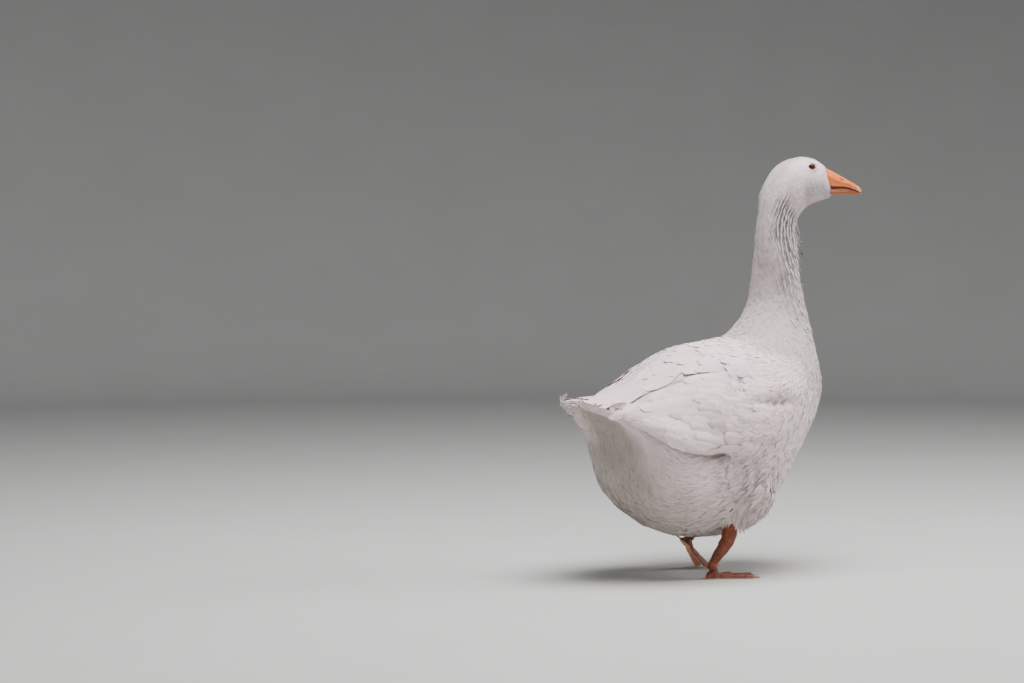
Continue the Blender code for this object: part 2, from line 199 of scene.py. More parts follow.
@dataclass
class Links:
    """Which of a mesh's points are joined by a side of a face."""

    faces: Array
    count: int

    def __post_init__(self) -> None:
        """Lists each side once from either end."""
        sides = np.stack([self.faces, np.roll(self.faces, -1, 1)], -1).reshape(-1, 2)
        sides = np.unique(np.sort(sides, axis=1), axis=0)
        self.near, self.far = np.concatenate([sides, sides[:, ::-1]]).T
        self.sides = np.maximum(np.bincount(self.near, minlength=self.count), 1)[:, None]

    def mean(self, points: Array) -> Array:
        """The mean of each point's neighbours."""
        sums = [np.bincount(self.near, points[self.far, axis], len(points)) for axis in range(3)]
        return np.stack(sums, 1) / self.sides


def relaxed(points: Array, faces: Array, rounds: int) -> Array:
    """Points smoothed without shrinking: each round moves them to their neighbours' mean and back.

    The step back is a little longer than the step there, so only ripples shorter than a few faces
    are lost.

    Args:
        points: A mesh's points.
        faces: Its faces.
        rounds: How often they are smoothed.

    Returns:
        The smoothed points.
    """
    there, back = 0.52, -0.54
    links = Links(faces, len(points))
    for share in (there, back) * rounds:
        points = points + (links.mean(points) - points) * share
    return points


def by_knot(stations: Array, values: Knots) -> Array:
    """Values that are given for each knot of the body's line, read at these stations."""
    return np.interp(stations, np.arange(len(values)), values)


def grid_faces(rows: int, columns: int, around: bool = False) -> Array:
    """Four-cornered faces of a grid of points, row by row, facing rows x columns.

    Args:
        rows: Rows of points.
        columns: Points in a row.
        around: Whether each row closes on itself.

    Returns:
        The numbers of each face's corners.
    """
    steps = columns if around else columns - 1
    row, column = np.meshgrid(np.arange(rows - 1) * columns, np.arange(steps), indexing="ij")
    below, side = row + columns, (column + 1) % columns
    return np.stack([row + column, below + column, below + side, row + side], -1).reshape(-1, 4)


# ---- reading and making meshes ----
def extent(node: str) -> Pair:
    """A solid's lowest and highest corner."""
    low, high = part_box(node)
    return np.array(low), np.array(high)


def middle(node: str) -> Array:
    """The middle of a solid's box."""
    return np.mean(extent(node), axis=0)


def turns(count: int) -> Array:
    """Angles once round the circle, the first of them 0."""
    return np.arange(count) * 2 * math.pi / count


def read_mesh(mesh: bpy.types.Mesh) -> Shape:
    """The points and triangles of a mesh.

    Returns:
        Points shaped (n, 3) and triangles shaped (m, 3).
    """
    points = np.empty(len(mesh.vertices) * 3)
    mesh.vertices.foreach_get("co", points)
    mesh.calc_loop_triangles()
    triangles = np.empty(len(mesh.loop_triangles) * 3, np.int32)
    mesh.loop_triangles.foreach_get("vertices", triangles)
    return points.reshape(-1, 3), triangles.reshape(-1, 3)


def merged(node: str) -> Shape:
    """A copy of a solid with the points that lie on each other made one."""
    points, triangles = read_mesh(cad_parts[node].data)
    _, first, same = np.unique(np.round(points, 6), axis=0, return_index=True, return_inverse=True)
    triangles = same.reshape(-1)[triangles]
    sides = (triangles != np.roll(triangles, 1, axis=1)).all(1)
    return points[first], triangles[sides]


def stacked(parts: Sequence[Shape]) -> Shape:
    """Several meshes as one, with the faces' numbers moved on."""
    starts = np.cumsum([0] + [len(points) for points, _ in parts[:-1]])
    return (
        np.vstack([points for points, _ in parts]),
        np.vstack([faces + start for (_, faces), start in zip(parts, starts)]),
    )


def pour(values: Array, items: bpy.types.bpy_prop_collection, name: str, kind: type = np.float32) -> None:
    """Sets one property of all the items from an array."""
    items.foreach_set(name, np.ascontiguousarray(values, kind).ravel())


def raw_mesh(name: str, points: Array, faces: Array) -> bpy.types.Mesh:
    """A mesh whose faces all have the same number of corners."""
    mesh = bpy.data.meshes.new(name)
    mesh.vertices.add(len(points))
    pour(points, mesh.vertices, "co")
    mesh.loops.add(faces.size)
    pour(faces, mesh.loops, "vertex_index", np.int32)
    mesh.polygons.add(len(faces))
    pour(np.arange(0, faces.size, faces.shape[1]), mesh.polygons, "loop_start", np.int32)
    mesh.update(calc_edges=True)
    return mesh


def placed(name: str, data: bpy.types.ID) -> bpy.types.Object:
    """A new object in the scene."""
    made = bpy.data.objects.new(name, data)
    bpy.context.scene.collection.objects.link(made)
    return made


def through_modifier(points: Array, faces: Array, kind: str, **settings: object) -> Shape:
    """What one modifier makes of a mesh, as triangles.

    Args:
        points: The mesh's points.
        faces: Its faces.
        kind: The modifier's type.
        settings: Values of the modifier's own properties.

    Returns:
        Its points and triangles.
    """
    piece = placed("rough", raw_mesh("rough", points, faces))
    modifier = piece.modifiers.new("made", kind)
    for name, value in settings.items():
        setattr(modifier, name, value)
    made = piece.evaluated_get(bpy.context.evaluated_depsgraph_get()).to_mesh()
    result = read_mesh(made)
    bpy.data.objects.remove(piece)
    return result


@dataclass
class Piece:
    """A finished mesh: its shape, what its materials read, and the solids it stands for."""

    name: str
    points: Array
    faces: Array
    finish: "Finish"
    slot: str
    values: dict[str, Array] = field(default_factory=dict)
    tint: Optional[Array] = None
    root_map: Optional[Array] = None
    replaces: tuple[str, ...] = ()

    def show(self) -> None:
        """Makes the object, with its attributes, root map and material, and hands it to the frame."""
        mesh = raw_mesh(self.name, self.points, self.faces)
        mesh.shade_smooth()
        for name, value in self.values.items():
            pour(value, mesh.attributes.new(name, "FLOAT", "POINT").data, "value")
        if self.tint is not None:
            colours = np.column_stack([self.tint, np.ones(len(self.tint))])
            pour(colours, mesh.attributes.new("tint", "FLOAT_COLOR", "POINT").data, "color")
        if self.root_map is not None:
            pour(self.root_map[self.faces.ravel()], mesh.uv_layers.new(name="OFBake").uv, "vector")
        mesh.materials.append(self.finish.material())
        piece = placed(self.name, mesh)
        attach(piece, "root")
        if self.replaces:
            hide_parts(*self.replaces)
        LOG.info("%s: %d triangles", self.name, len(self.faces) * (self.faces.shape[1] - 2))


# ---- the shape of the body ----
@dataclass
class BodyLine:
    """The middle line of head, neck, trunk and tail, from the bill's root to the tail's tip.

    Places on it are counted in knots: 0 the bill's root, 1 the middle of the head, 2 where the
    neck begins, 4 its base, 6 the middle of the trunk, 7 the rump and 8 the tail's tip.
    """

    samples: int = 97
    softness: float = 0.020

    def __post_init__(self) -> None:
        """Reads the knots off the solids, and runs a Catmull-Rom curve through them."""
        neck, _ = merged("neck")
        head, _ = merged("head")
        trunk_low, trunk_high = extent("trunk")
        tail_low, tail_high = extent("tail")
        bill = middle("bill_upper")
        neck_top = neck[neck[:, 2] > neck[:, 2].max() - 0.030].mean(0)
        neck_base = neck[neck[:, 2] < neck[:, 2].min() + 0.060].mean(0)
        crown = head[head[:, 2] > head[:, 2].max() - 0.045].mean(0)
        bill_way = unit((bill - crown) * (1, 1, 0))
        size = trunk_high - trunk_low
        self.knots = np.array([
            bill - bill_way * 0.032 - UP * 0.004,
            crown - bill_way * 0.012 - UP * 0.008,
            neck_top + bill_way * 0.004,
            (neck_top + neck_base) / 2,
            neck_base,
            trunk_low + size * (0.78, 0.5, 0.52),
            trunk_low + size * (0.52, 0.5, 0.46),
            trunk_low + size * (0.16, 0.5, 0.58),
            [tail_low[0], 0.0, tail_high[2] - 0.012],
        ])
        self.knots[3:, 1] = 0.0
        self.stations = np.linspace(0, len(self.knots) - 1, self.samples)
        self.line = curve_through(self.knots, self.stations)
        self.ways = unit(np.gradient(self.line, axis=0))
        self.sides = unit(LEFT - (self.ways @ LEFT)[:, None] * self.ways)

    def read(self, points: Array) -> Triple:
        """How the points lie to the line.

        The line's samples are averaged with weights that fall as the sixth power of distance.

        Args:
            points: Where to read it.

        Returns:
            Stations in knots, angles about the line (0 the back, a quarter turn the left, half a
            turn the belly or throat), and the line's direction towards the tail.
        """
        stations, angles, ways = [], [], []
        for part in np.array_split(points, max(1, len(points) // 40000)):
            away = part[:, None, :] - self.line[None]
            weight = 1.0 / ((away**2).sum(-1) + self.softness**2 * 0.05) ** 3
            weight /= weight.sum(1, keepdims=True)
            station = weight @ self.stations
            way = unit(weight @ self.ways)
            offset = part - self.at(station, self.line)
            side = self.at(station, self.sides)
            stations.append(station)
            ways.append(way)
            angles.append(np.arctan2((offset * side).sum(1), (offset * np.cross(side, way)).sum(1)))
        return np.concatenate(stations), np.concatenate(angles), np.vstack(ways)

    def at(self, stations: Array, table: Array) -> Array:
        """A table of the line's samples, read at these stations."""
        return np.stack([np.interp(stations, self.stations, table[:, axis]) for axis in range(3)], -1)

    def rays(self, stations: Array, angles: Array) -> Pair:
        """Rays that leave the line square to it.

        Args:
            stations: Where each starts.
            angles: Its angle about the line.

        Returns:
            Where the rays start, and their directions.
        """
        side, way = self.at(stations, self.sides), self.at(stations, self.ways)
        backward = np.cross(unit(side), unit(way))
        aim = backward * np.cos(angles)[..., None] + unit(side) * np.sin(angles)[..., None]
        return self.at(stations, self.line), aim


@dataclass
class HeightField:
    """Heights over a surface, kept on a grid of cells, so that many points are read at once.

    Each surface point gives the cells within reach its tangent plane's height there, weighted by
    exp(-distance squared / (2 spread squared)), and a height is the weighted mean.
    """

    points: Array
    normals: Array
    cell: float = 0.0046
    reach: int = 3
    spread: float = 0.0042
    least: float = 1e-5  # the weight under which the surface is out of reach

    def __post_init__(self) -> None:
        """Adds up the planes' heights and normals in the cells."""
        self.low = self.points.min(0) - (self.reach + 2) * self.cell
        self.size = np.ceil((self.points.max(0) - self.low) / self.cell).astype(int) + self.reach + 3
        base = np.floor((self.points - self.low) / self.cell).astype(int)
        cells = int(np.prod(self.size))
        totals = np.zeros((5, cells))
        span = np.arange(1 - self.reach, self.reach + 1)
        for ahead in span:
            steps = np.stack(np.meshgrid([ahead], span, span, indexing="ij"), -1).reshape(-1, 3)
            node = base[:, None] + steps
            away = self.low + node * self.cell - self.points[:, None]
            weight = np.exp(-(away**2).sum(-1) / (2 * self.spread**2))
            height = (away * self.normals[:, None]).sum(-1)
            index = self.index(node).ravel()
            totals[0] += np.bincount(index, weight.ravel(), cells)
            totals[1] += np.bincount(index, (weight * height).ravel(), cells)
            for axis in range(3):
                leaning = weight * self.normals[:, None, axis]
                totals[2 + axis] += np.bincount(index, leaning.ravel(), cells)
        self.totals = np.ascontiguousarray(totals.T.astype(np.float32))

    def index(self, node: Array) -> Array:
        """Where a cell's totals are kept."""
        return (node[..., 0] * self.size[1] + node[..., 1]) * self.size[2] + node[..., 2]

    def read(self, points: Array) -> Triple:
        """The surface near some points: the grid's totals, blended between the eight cells round each.

        Args:
            points: Where to read it.

        Returns:
            Height over the surface, its normal, and whether the surface is within reach.
        """
        place = (points - self.low) / self.cell
        base = np.clip(np.floor(place).astype(int), 0, self.size - 2)
        share = np.clip(place - base, 0, 1).astype(np.float32)
        total = np.zeros((len(points), 5), np.float32)
        for corner in np.ndindex(2, 2, 2):
            weight = np.prod(np.where(corner, share, 1 - share), axis=-1)
            total += self.totals[self.index(base + corner)] * weight[:, None]
        near = total[:, 0] > self.least
        height = np.where(near, total[:, 1] / np.maximum(total[:, 0], 1e-9), 0.0)
        return height, unit(total[:, 2:5].astype(float)), near

    def lay(self, points: Array, heights: Array, rounds: int = 2, most: float = 0.004) -> Array:
        """Points moved along the normals to these heights over the surface.

        Args:
            points: Points near the surface; one out of its reach stays where it is.
            heights: The wanted heights.
            rounds: How often the move is corrected.
            most: The longest single move.

        Returns:
            The moved points.
        """
        for _ in range(rounds):
            height, normal, near = self.read(points)
            move = np.clip(heights - height, -most, most) * near
            points = points + move[:, None] * normal
        return points

    def cast(self, rays: Pair, far: float, first: float = 0.012, step: float = 0.003) -> Pair:
        """Where rays from inside leave the surface for the last time.

        Args:
            rays: Where the rays start, and their directions.
            far: How far they are followed.
            first: How far from the start they are first looked at.
            step: The distance between two looks.

        Returns:
            The points, and whether each ray found the surface.
        """
        (origins, aims), steps = rays, np.arange(first, far, step)
        track = origins[:, None] + aims[:, None] * steps[:, None]
        height, _, near = self.read(track.reshape(-1, 3))
        inside = (near & (height < 0)).reshape(len(origins), -1)
        last = inside.shape[1] - 1 - np.argmax(inside[:, ::-1], axis=1)
        found = inside.any(1)
        hit = origins + aims * (steps[last] + step / 2)[:, None]
        return self.lay(hit, np.zeros(len(hit)), 3), found


# ---- finishes ----
@dataclass
class Wiring:
    """Short ways to make the nodes of one tree."""

    tree: bpy.types.NodeTree

    def fill(self, node: bpy.types.Node, inputs: dict) -> None:
        """Gives each of these inputs of a node its value, or links it to a socket."""
        for name, value in inputs.items():
            if isinstance(value, Socket):
                self.tree.links.new(value, node.inputs[name])
            else:
                node.inputs[name].default_value = value

    def node(self, kind: str, inputs: Optional[dict] = None, **settings: object) -> bpy.types.Node:
        """A new node.

        Args:
            kind: The node's type.
            inputs: What its inputs are filled with.
            settings: Values of its own properties.

        Returns:
            The node.
        """
        made = self.tree.nodes.new(kind)
        for name, value in settings.items():
            setattr(made, name, value)
        self.fill(made, inputs or {})
        return made

    def value(self, name: str) -> Socket:
        """A number that the mesh carries."""
        return self.node("ShaderNodeAttribute", attribute_name=name).outputs["Fac"]

    def colour(self, name: str) -> Socket:
        """A colour that the mesh carries."""
        return self.node("ShaderNodeAttribute", attribute_name=name).outputs["Color"]

    def place(self) -> Socket:
        """The place on the piece."""
        return self.node("ShaderNodeTexCoord").outputs["Object"]

    def sum(self, kind: str, *values: object) -> Socket:
        """One arithmetic step."""
        return self.node("ShaderNodeMath", dict(enumerate(values)), operation=kind).outputs[0]

    def product(self, first: object, *others: object) -> Socket:
        """Numbers multiplied one after another."""
        for other in others:
            first = self.sum("MULTIPLY", first, other)
        return first

    def mix(self, share: object, first: object, second: object, kind: str = "MIX") -> Socket:
        """Two colours mixed; a colour is a socket or four numbers."""
        inputs = {0: share, 6: first, 7: second}
        return self.node("ShaderNodeMix", inputs, data_type="RGBA", blend_type=kind).outputs[2]

    def tinted(self, shade: Socket) -> Socket:
        """The tint that the mesh carries, multiplied by a shade."""
        return self.mix(1.0, self.colour("tint"), shade, "MULTIPLY")

    def grey(self, light: Socket) -> Socket:
        """A number as a colour without hue."""
        return self.node("ShaderNodeCombineColor", {0: light, 1: light, 2: light}).outputs[0]

    def range(self, value: object, low: float, high: float, first: float, last: float) -> Socket:
        """A number carried from low..high to first..last, and held inside it."""
        made = self.node("ShaderNodeMapRange", {0: value, 1: low, 2: high, 3: first, 4: last})
        return made.outputs[0]

    def noise(self, where: object, scale: float, detail: float = 3.0) -> Socket:
        """Cloudy noise from 0 to 1."""
        made = self.node("ShaderNodeTexNoise", {"Vector": where, "Scale": scale, "Detail": detail})
        return made.outputs["Fac"]

    def mottle(self, **sizes: float) -> bpy.types.Node:
        """The group of soft patches, with its sizes where they differ from the group's own."""
        return self.node("ShaderNodeGroup", sizes, node_tree=mottle_group())

    def uneven(self, patches: Socket, least: float, most: float) -> Socket:
        """The middle of the patches' numbers, carried to least..most."""
        return self.range(patches, 0.3, 0.7, least, most)

    def bump(self, height: Socket, depth: float, strength: float) -> Socket:
        """The normals of a surface that rises by this height times the depth, in metres."""
        made = self.node("ShaderNodeBump", {"Height": height, "Distance": depth, "Strength": strength})
        return made.outputs[0]


def effect_group(
    name: str, inputs: dict[str, float], outputs: Sequence[str]
) -> tuple[bpy.types.NodeTree, bool]:
    """A node group of numbers, made once.

    Args:
        name: The group's name.
        inputs: Its named inputs and their usual values.
        outputs: The names of its outputs.

    Returns:
        The group, and whether it is new and still to be wired.
    """
    if name in bpy.data.node_groups:
        return bpy.data.node_groups[name], False
    group = bpy.data.node_groups.new(name, "ShaderNodeTree")
    for label, value in inputs.items():
        socket = group.interface.new_socket(label, in_out="INPUT", socket_type="NodeSocketFloat")
        socket.default_value = value
    for label in outputs:
        group.interface.new_socket(label, in_out="OUTPUT", socket_type="NodeSocketFloat")
    return group, True


def barbs_group() -> bpy.types.NodeTree:
    """The fine slanted lines of a vane's barbs, and the shaft between them.

    The lines are a sine of the way along plus the slant times the way out from the shaft.
    """
    group, new = effect_group("barbs", {"Lines": 26.0, "Slant": 0.5}, ("Height", "Shaft"))
    if new:
        wire = Wiring(group)
        given = wire.node("NodeGroupInput")
        out = wire.node("NodeGroupOutput")
        side = wire.sum("ABSOLUTE", wire.value("across"))
        way = wire.sum("SUBTRACT", wire.value("along"), wire.product(side, given.outputs["Slant"]))
        turn = wire.product(way, given.outputs["Lines"], 2 * math.pi)
        lines = wire.range(wire.sum("SINE", turn), -1, 1, 0, 1)
        shaft = wire.range(side, 0.0, 0.10, 1, 0)
        group.links.new(lines, out.inputs["Height"])
        group.links.new(shaft, out.inputs["Shaft"])
    return group


def mottle_group() -> bpy.types.NodeTree:
    """Soft uneven patches at two sizes, as a number about one half."""
    group, new = effect_group("mottle", {"Wide": 18.0, "Fine": 140.0}, ("Patch", "Grain"))
    if new:
        wire = Wiring(group)
        given = wire.node("NodeGroupInput")
        out = wire.node("NodeGroupOutput")
        where = wire.place()
        for label, size in (("Patch", "Wide"), ("Grain", "Fine")):
            made = wire.noise(where, 1.0)
            group.links.new(given.outputs[size], made.node.inputs["Scale"])
            group.links.new(made, out.inputs[label])
    return group


@dataclass(frozen=True)
class Finish:
    """A material; each kind wires its own nodes."""

    name: str

    def material(self) -> bpy.types.Material:
        """The material, made the first time it is asked for."""
        if self.name in bpy.data.materials:
            return bpy.data.materials[self.name]
        made = bpy.data.materials.new(self.name)
        made.use_nodes = True
        self.wire(Wiring(made.node_tree), made.node_tree.nodes["Principled BSDF"])
        return made

    def wire(self, wire: Wiring, shader: bpy.types.Node) -> None:
        """Sets the shader's sockets.

        Args:
            wire: Makes the material's nodes.
            shader: The shader they feed.
        """
        raise NotImplementedError


@dataclass(frozen=True)
class FeatherFinish(Finish):
    """Feathers: the mesh's own tint with barb lines, a faint shaft, painted shade towards the root and,
    where set, on the sides, and paler rims.
    """

    lines: float = 22.0
    slant: float = 0.45
    rim: float = 0.05
    # How much darker the sides are painted, as shade on a roofed tuft.
    sides: float = 0.0
    depth: float = 0.00025
    contrast: float = 0.035
    roughness: float = 0.72

    def wire(self, wire: Wiring, shader: bpy.types.Node) -> None:
        """Multiplies tint by tone, root, sides, barbs and patches, adds the rim, and bumps the barbs."""
        given = {"Lines": self.lines, "Slant": self.slant}
        barbs = wire.node("ShaderNodeGroup", given, node_tree=barbs_group()).outputs
        mottle = wire.mottle().outputs
        along, out = wire.value("along"), wire.sum("ABSOLUTE", wire.value("across"))
        tone = wire.range(wire.value("tone"), 0, 1, 0.91, 1.04)
        # Darker towards the root: painted shade under the overlapping feathers.
        root = wire.range(along, 0.0, 0.60, 0.90, 1.0)
        root = wire.product(root, wire.uneven(mottle["Grain"], 0.95, 1.03))
        # Darker sides, where set: painted shade on each roofed tuft.
        light = wire.product(tone, root, wire.range(out, 0.35, 1.0, 1.0, 1.0 - self.sides))
        tip, side = (wire.range(way, low, 1.0, 0.0, self.rim) for way, low in ((along, 0.80), (out, 0.70)))
        light = wire.sum("ADD", light, wire.sum("MAXIMUM", tip, side))
        light = wire.product(light, wire.range(barbs["Height"], 0, 1, 1 - self.contrast, 1.02))
        light = wire.product(light, wire.uneven(mottle["Patch"], 0.955, 1.03))
        height = wire.sum("ADD", barbs["Height"], wire.product(barbs["Shaft"], 1.2))
        wire.fill(shader, {
            "Base Color": wire.tinted(wire.grey(light)),
            "Normal": wire.bump(height, self.depth, 0.6),
            "Roughness": self.roughness,
            "Specular IOR Level": 0.25,
            "Sheen Weight": 0.25,
            "Sheen Roughness": 0.6,
        })


@dataclass(frozen=True)
class SkinFinish(Finish):
    """Skin: under the feathers their own tint; on shanks and feet small raised scales."""

    def wire(self, wire: Wiring, shader: bpy.types.Node) -> None:
        """Scales come from a cell pattern that is let through where the skin is bare."""
        where, bare, white = wire.place(), wire.value("bare"), (1, 1, 1, 1)
        mottle = wire.mottle(Wide=60.0, Fine=420.0).outputs
        pattern = {"Vector": where, "Scale": 430.0}
        cells = wire.node("ShaderNodeTexVoronoi", pattern, feature="DISTANCE_TO_EDGE")
        joint = wire.range(cells.outputs["Distance"], 0.02, 0.16, 0.0, 1.0)
        shade = wire.product(wire.range(joint, 0, 1, 0.60, 1.0), wire.uneven(mottle["Patch"], 0.84, 1.12))
        height = wire.product(bare, wire.sum("ADD", joint, wire.product(mottle["Grain"], 0.6)))
        wire.fill(shader, {
            "Base Color": wire.tinted(wire.mix(bare, white, wire.grey(shade))),
            "Normal": wire.bump(height, 0.0005, 0.8),
            "Roughness": wire.range(bare, 0, 1, 0.85, 0.50),
            "Subsurface Weight": 0.05,
            "Subsurface Radius": (0.0012, 0.0008, 0.0007),
            "Subsurface Scale": 1.0,
        })


@dataclass(frozen=True)
class BillFinish(Finish):
    """Horn of the bill: waxy and finely pitted over the mesh's own tint."""

    def wire(self, wire: Wiring, shader: bpy.types.Node) -> None:
        """Patches and grain darken the colour, and the grain lifts the surface a little."""
        mottle = wire.mottle(Wide=110.0, Fine=900.0).outputs
        patch, grain = mottle["Patch"], mottle["Grain"]
        light = wire.product(wire.uneven(patch, 0.88, 1.08), wire.uneven(grain, 0.95, 1.04))
        wire.fill(shader, {
            "Base Color": wire.tinted(wire.grey(light)),
            "Normal": wire.bump(grain, 0.0003, 0.5),
            "Roughness": wire.uneven(patch, 0.36, 0.52),
            "Specular IOR Level": 0.35,
            "Subsurface Weight": 0.15,
            "Subsurface Radius": (0.003, 0.0012, 0.0006),
            "Subsurface Scale": 1.0,
        })


@dataclass(frozen=True)
class EyeFinish(Finish):
    """The eye: the mesh's own tint for iris, pupil and white, under a wet clear coat."""

    def wire(self, wire: Wiring, shader: bpy.types.Node) -> None:
        """Fine flecks vary the iris, and a clear coat wets it."""
        flecks = wire.mottle(Fine=1500.0).outputs["Grain"]
        wire.fill(shader, {
            "Base Color": wire.tinted(wire.grey(wire.range(flecks, 0.35, 0.65, 0.75, 1.2))),
            "Roughness": 0.20,
            "Specular IOR Level": 0.10,
            "Coat Weight": 0.35,
            "Coat Roughness": 0.02,
        })


@dataclass(frozen=True)
class PlainFinish(Finish):
    """An even finish for floor and claws, broken up by fine noise."""

    base: Colour
    roughness: float
    fleck: float = 0.05
    scale: float = 60.0

    def wire(self, wire: Wiring, shader: bpy.types.Node) -> None:
        """The base colour between a darker and a paler one."""
        cloud = wire.noise(wire.place(), self.scale)
        dark = (*(channel * (1 - self.fleck) for channel in self.base), 1.0)
        pale = (*(min(1.0, channel * (1 + self.fleck)) for channel in self.base), 1.0)
        colour = wire.mix(wire.uneven(cloud, 0, 1), dark, pale)
        wire.fill(shader, {"Base Color": colour, "Roughness": self.roughness})


# ---- markings ----
@dataclass(frozen=True)
class Markings:
    """The colours of plumage and its painted shade, and where on the body each shows. Skin and feathers
    both read it.
    """

    white: Colour = (0.87, 0.715, 0.718)
    # A lilac-grey that is painted shade of the white plumage.
    lilac: Colour = (0.640, 0.462, 0.507)
    shaded: Colour = (0.36, 0.282, 0.270)
    # A dark olive: painted shade of the underside, with some soiling.
    cream: Colour = (0.285, 0.252, 0.182)
    # Near black: the grey down of the neck's furrows, and painted shade in furrows, gaps and recesses.
    streak: Colour = (0.076, 0.066, 0.063)
    bluish: Colour = (0.58, 0.58, 0.62)
    ridges: int = 40
    slant: float = 1.5
    # By station: the angles of the folded wing's two edges, of the upper border of the skin that its
    # feathers cover, and of the ridge round the hollow under the tail; and the body's radius.
    lower_edge: Table = ((5.75, 6.22, 6.62, 6.98, 7.14, 7.45), (1.86, 1.93, 2.05, 2.12, 2.06, 1.98))
    upper_edge: Table = ((6.70, 6.97, 7.23, 7.70), (1.00, 1.14, 1.55, 1.77))
    covered: Table = ((6.0, 6.5, 6.7, 6.95, 7.25, 7.7), (0.98, 0.90, 0.70, 0.80, 1.15, 1.45))
    rim: Table = ((7.20, 7.30, 7.60, 7.95), (2.40, 2.27, 1.99, 1.90))
    radius: Table = ((5.0, 6.0, 7.0, 7.7, 8.0), (0.12, 0.14, 0.10, 0.055, 0.045))

    def lean(self, stations: Array) -> Array:
        """How many furrows a column has moved round the neck by here."""
        return self.slant * np.tanh((stations - 2.0) / 0.35)

    def furrow(self, stations: Array, angles: Array) -> Array:
        """Which furrow of the neck a place is in: a count round the neck that leans on the way down."""
        return self.ridges * angles / (2 * math.pi) + self.lean(stations) * np.sign(angles)

    def column(self, stations: Array, counts: Array, signs: Array) -> Array:
        """The angle at which a furrow count is found."""
        return (counts - self.lean(stations) * signs) * 2 * math.pi / self.ridges

    def furrowed(self, points: Array, stations: Array, angles: Array) -> Array:
        """How strongly the neck is furrowed: below the cheek at the sides and throat, fading down."""
        start = 1.48 + 0.36 * ease(1.2, 2.6, np.abs(angles))
        sides = ease(0.55, 1.15, np.abs(angles) + 0.14 * ripple(points, 0.05, 31))
        return sides * ease(0.0, 0.22, stations - start) * ease(3.9, 2.4, stations)

    def ruffled(self, points: Array) -> Array:
        """How ruffled the plumage is: most on the flanks above the thighs."""
        behind = hill(points[:, 0], middle("thigh_right")[0] + 0.02, 0.07)
        return behind * ease(0.30, 0.20, points[:, 2])

    def past_panel(self, points: Array) -> Array:
        """How far in front of the full white flank's curved border a place lies, in metres."""
        curve = 0.036 + 0.30 * np.clip(0.19 - points[:, 2], 0, 0.06)
        return points[:, 0] + curve + 0.0075 * ripple(points, 0.045, 14)

    def crease(self, points: Array) -> Array:
        """The dented crease under the puffed feathers of the shoulder: 1 in it, 0 away from it."""
        behind, below = (points - extent("wing_right")[1])[:, (0, 2)].T
        dents = 0.75 + 0.35 * np.sin(2 * math.pi * behind / 0.021)
        return hill(below, -0.090, 0.0085) * hill(behind, -0.096, 0.040) * dents

    def tail_rim(self, stations: Array) -> Array:
        """The angle of the ridge that bounds the hollow under the tail."""
        return np.interp(stations, *self.rim)

    def below(self, stations: Array, angles: Array, edge: Table) -> Array:
        """How far round the body, in metres, a place lies below one of the edges."""
        return (np.abs(angles) - np.interp(stations, *edge)) * np.interp(stations, *self.radius)

    def gap(self, stations: Array, angles: Array, reach: float) -> Array:
        """The gap between a wing's upper edge and the feathers of the back: 1 in it, 0 away from it."""
        away = self.below(stations, angles, self.upper_edge)
        return hill(away, 0.0, reach) * within(6.80, 6.98, 7.66, 7.80, stations)

    def on_wing(self, stations: Array, angles: Array) -> Array:
        """Whether a place is under the long feathers of the folded wing."""
        upper, side = np.interp(stations, *self.covered), np.abs(angles)
        beside = (side > upper) & (side < np.interp(stations, *self.lower_edge) - 0.06)
        return beside & (stations > 6.0) & (stations < 7.7)

    def under_tail(self, stations: Array, angles: Array) -> Array:
        """Whether a place is behind the rump and below the tail's rim."""
        return (stations > 7.0) & (np.abs(angles) > self.tail_rim(stations) - 0.02)

    def tint(self, points: Array, stations: Array, angles: Array) -> Array:
        """The plumage's colour and painted shade: white, lilac-grey shade above, dark olive shade and some
        soiling below, shade under the wing, in creases, on the neck and behind the jaw, and bluish by the
        bill's root.

        Args:
            points: Where to read it.
            stations: The places' stations.
            angles: Their angles about the body's line.

        Returns:
            A colour for each place.
        """
        colours = (self.white, self.lilac, self.cream, self.bluish, self.shaded)
        white, lilac, cream, bluish, shaded = (np.array(colour) for colour in colours)
        up, out, height = np.cos(angles), np.abs(np.sin(angles)), points[:, 2]
        ahead = self.past_panel(points)
        over = self.below(stations, angles, self.lower_edge)
        cloud = 0.5 + 0.5 * ripple(points, 0.09, 11)
        lock = 0.5 + 0.5 * ripple(points, 0.022, 12)
        # White, with a painted lilac-grey shade above and in soft patches; the puffed flank panel is left
        # white, painted as lit.
        beside = ease(0.5, 0.9, out) * ease(0.235, 0.215, height)
        panel = within(0.0, -0.012, -0.06, -0.13, ahead) * ease(0.12, 0.15, height)
        panel = beside * panel
        back = ease(-0.5, 0.3, up) * ease(4.4, 5.4, stations)
        shade = np.clip(0.62 * back + 0.30 * cloud, 0, 1) * (1 - 0.9 * panel)
        # A painted shade along the middle of the folded wing, where it bulges.
        wing_band_shade = hill(over, -0.046, 0.024) * within(5.6, 6.2, 7.1, 7.5, stations)
        tint = blend(white, lilac, shade[:, None]) * (1 - 0.20 * wing_band_shade)[:, None]
        # Shaded under the wing's edge, by the flank's border, in the shoulder's crease and the ruffles.
        edge = within(-0.001, 0.003, 0.006, 0.022, over)
        edge = edge * within(5.9, 6.2, 7.2, 7.5, stations)
        by_panel = hill(ahead, 0.010, 0.018) * ease(0.14, 0.17, height) * beside * (0.45 + 0.35 * lock)
        dent = 0.60 * self.crease(points - 0.003 * UP) * ease(0.5, 0.9, out)
        ruffled = self.ruffled(points) * ease(0.3, 0.6, out) * ease(-0.006, 0.002, ahead)
        deep = np.maximum.reduce([edge, by_panel, dent, (0.46 + 0.50 * lock**2) * ruffled])
        tint = blend(tint, shaded, deep[:, None])
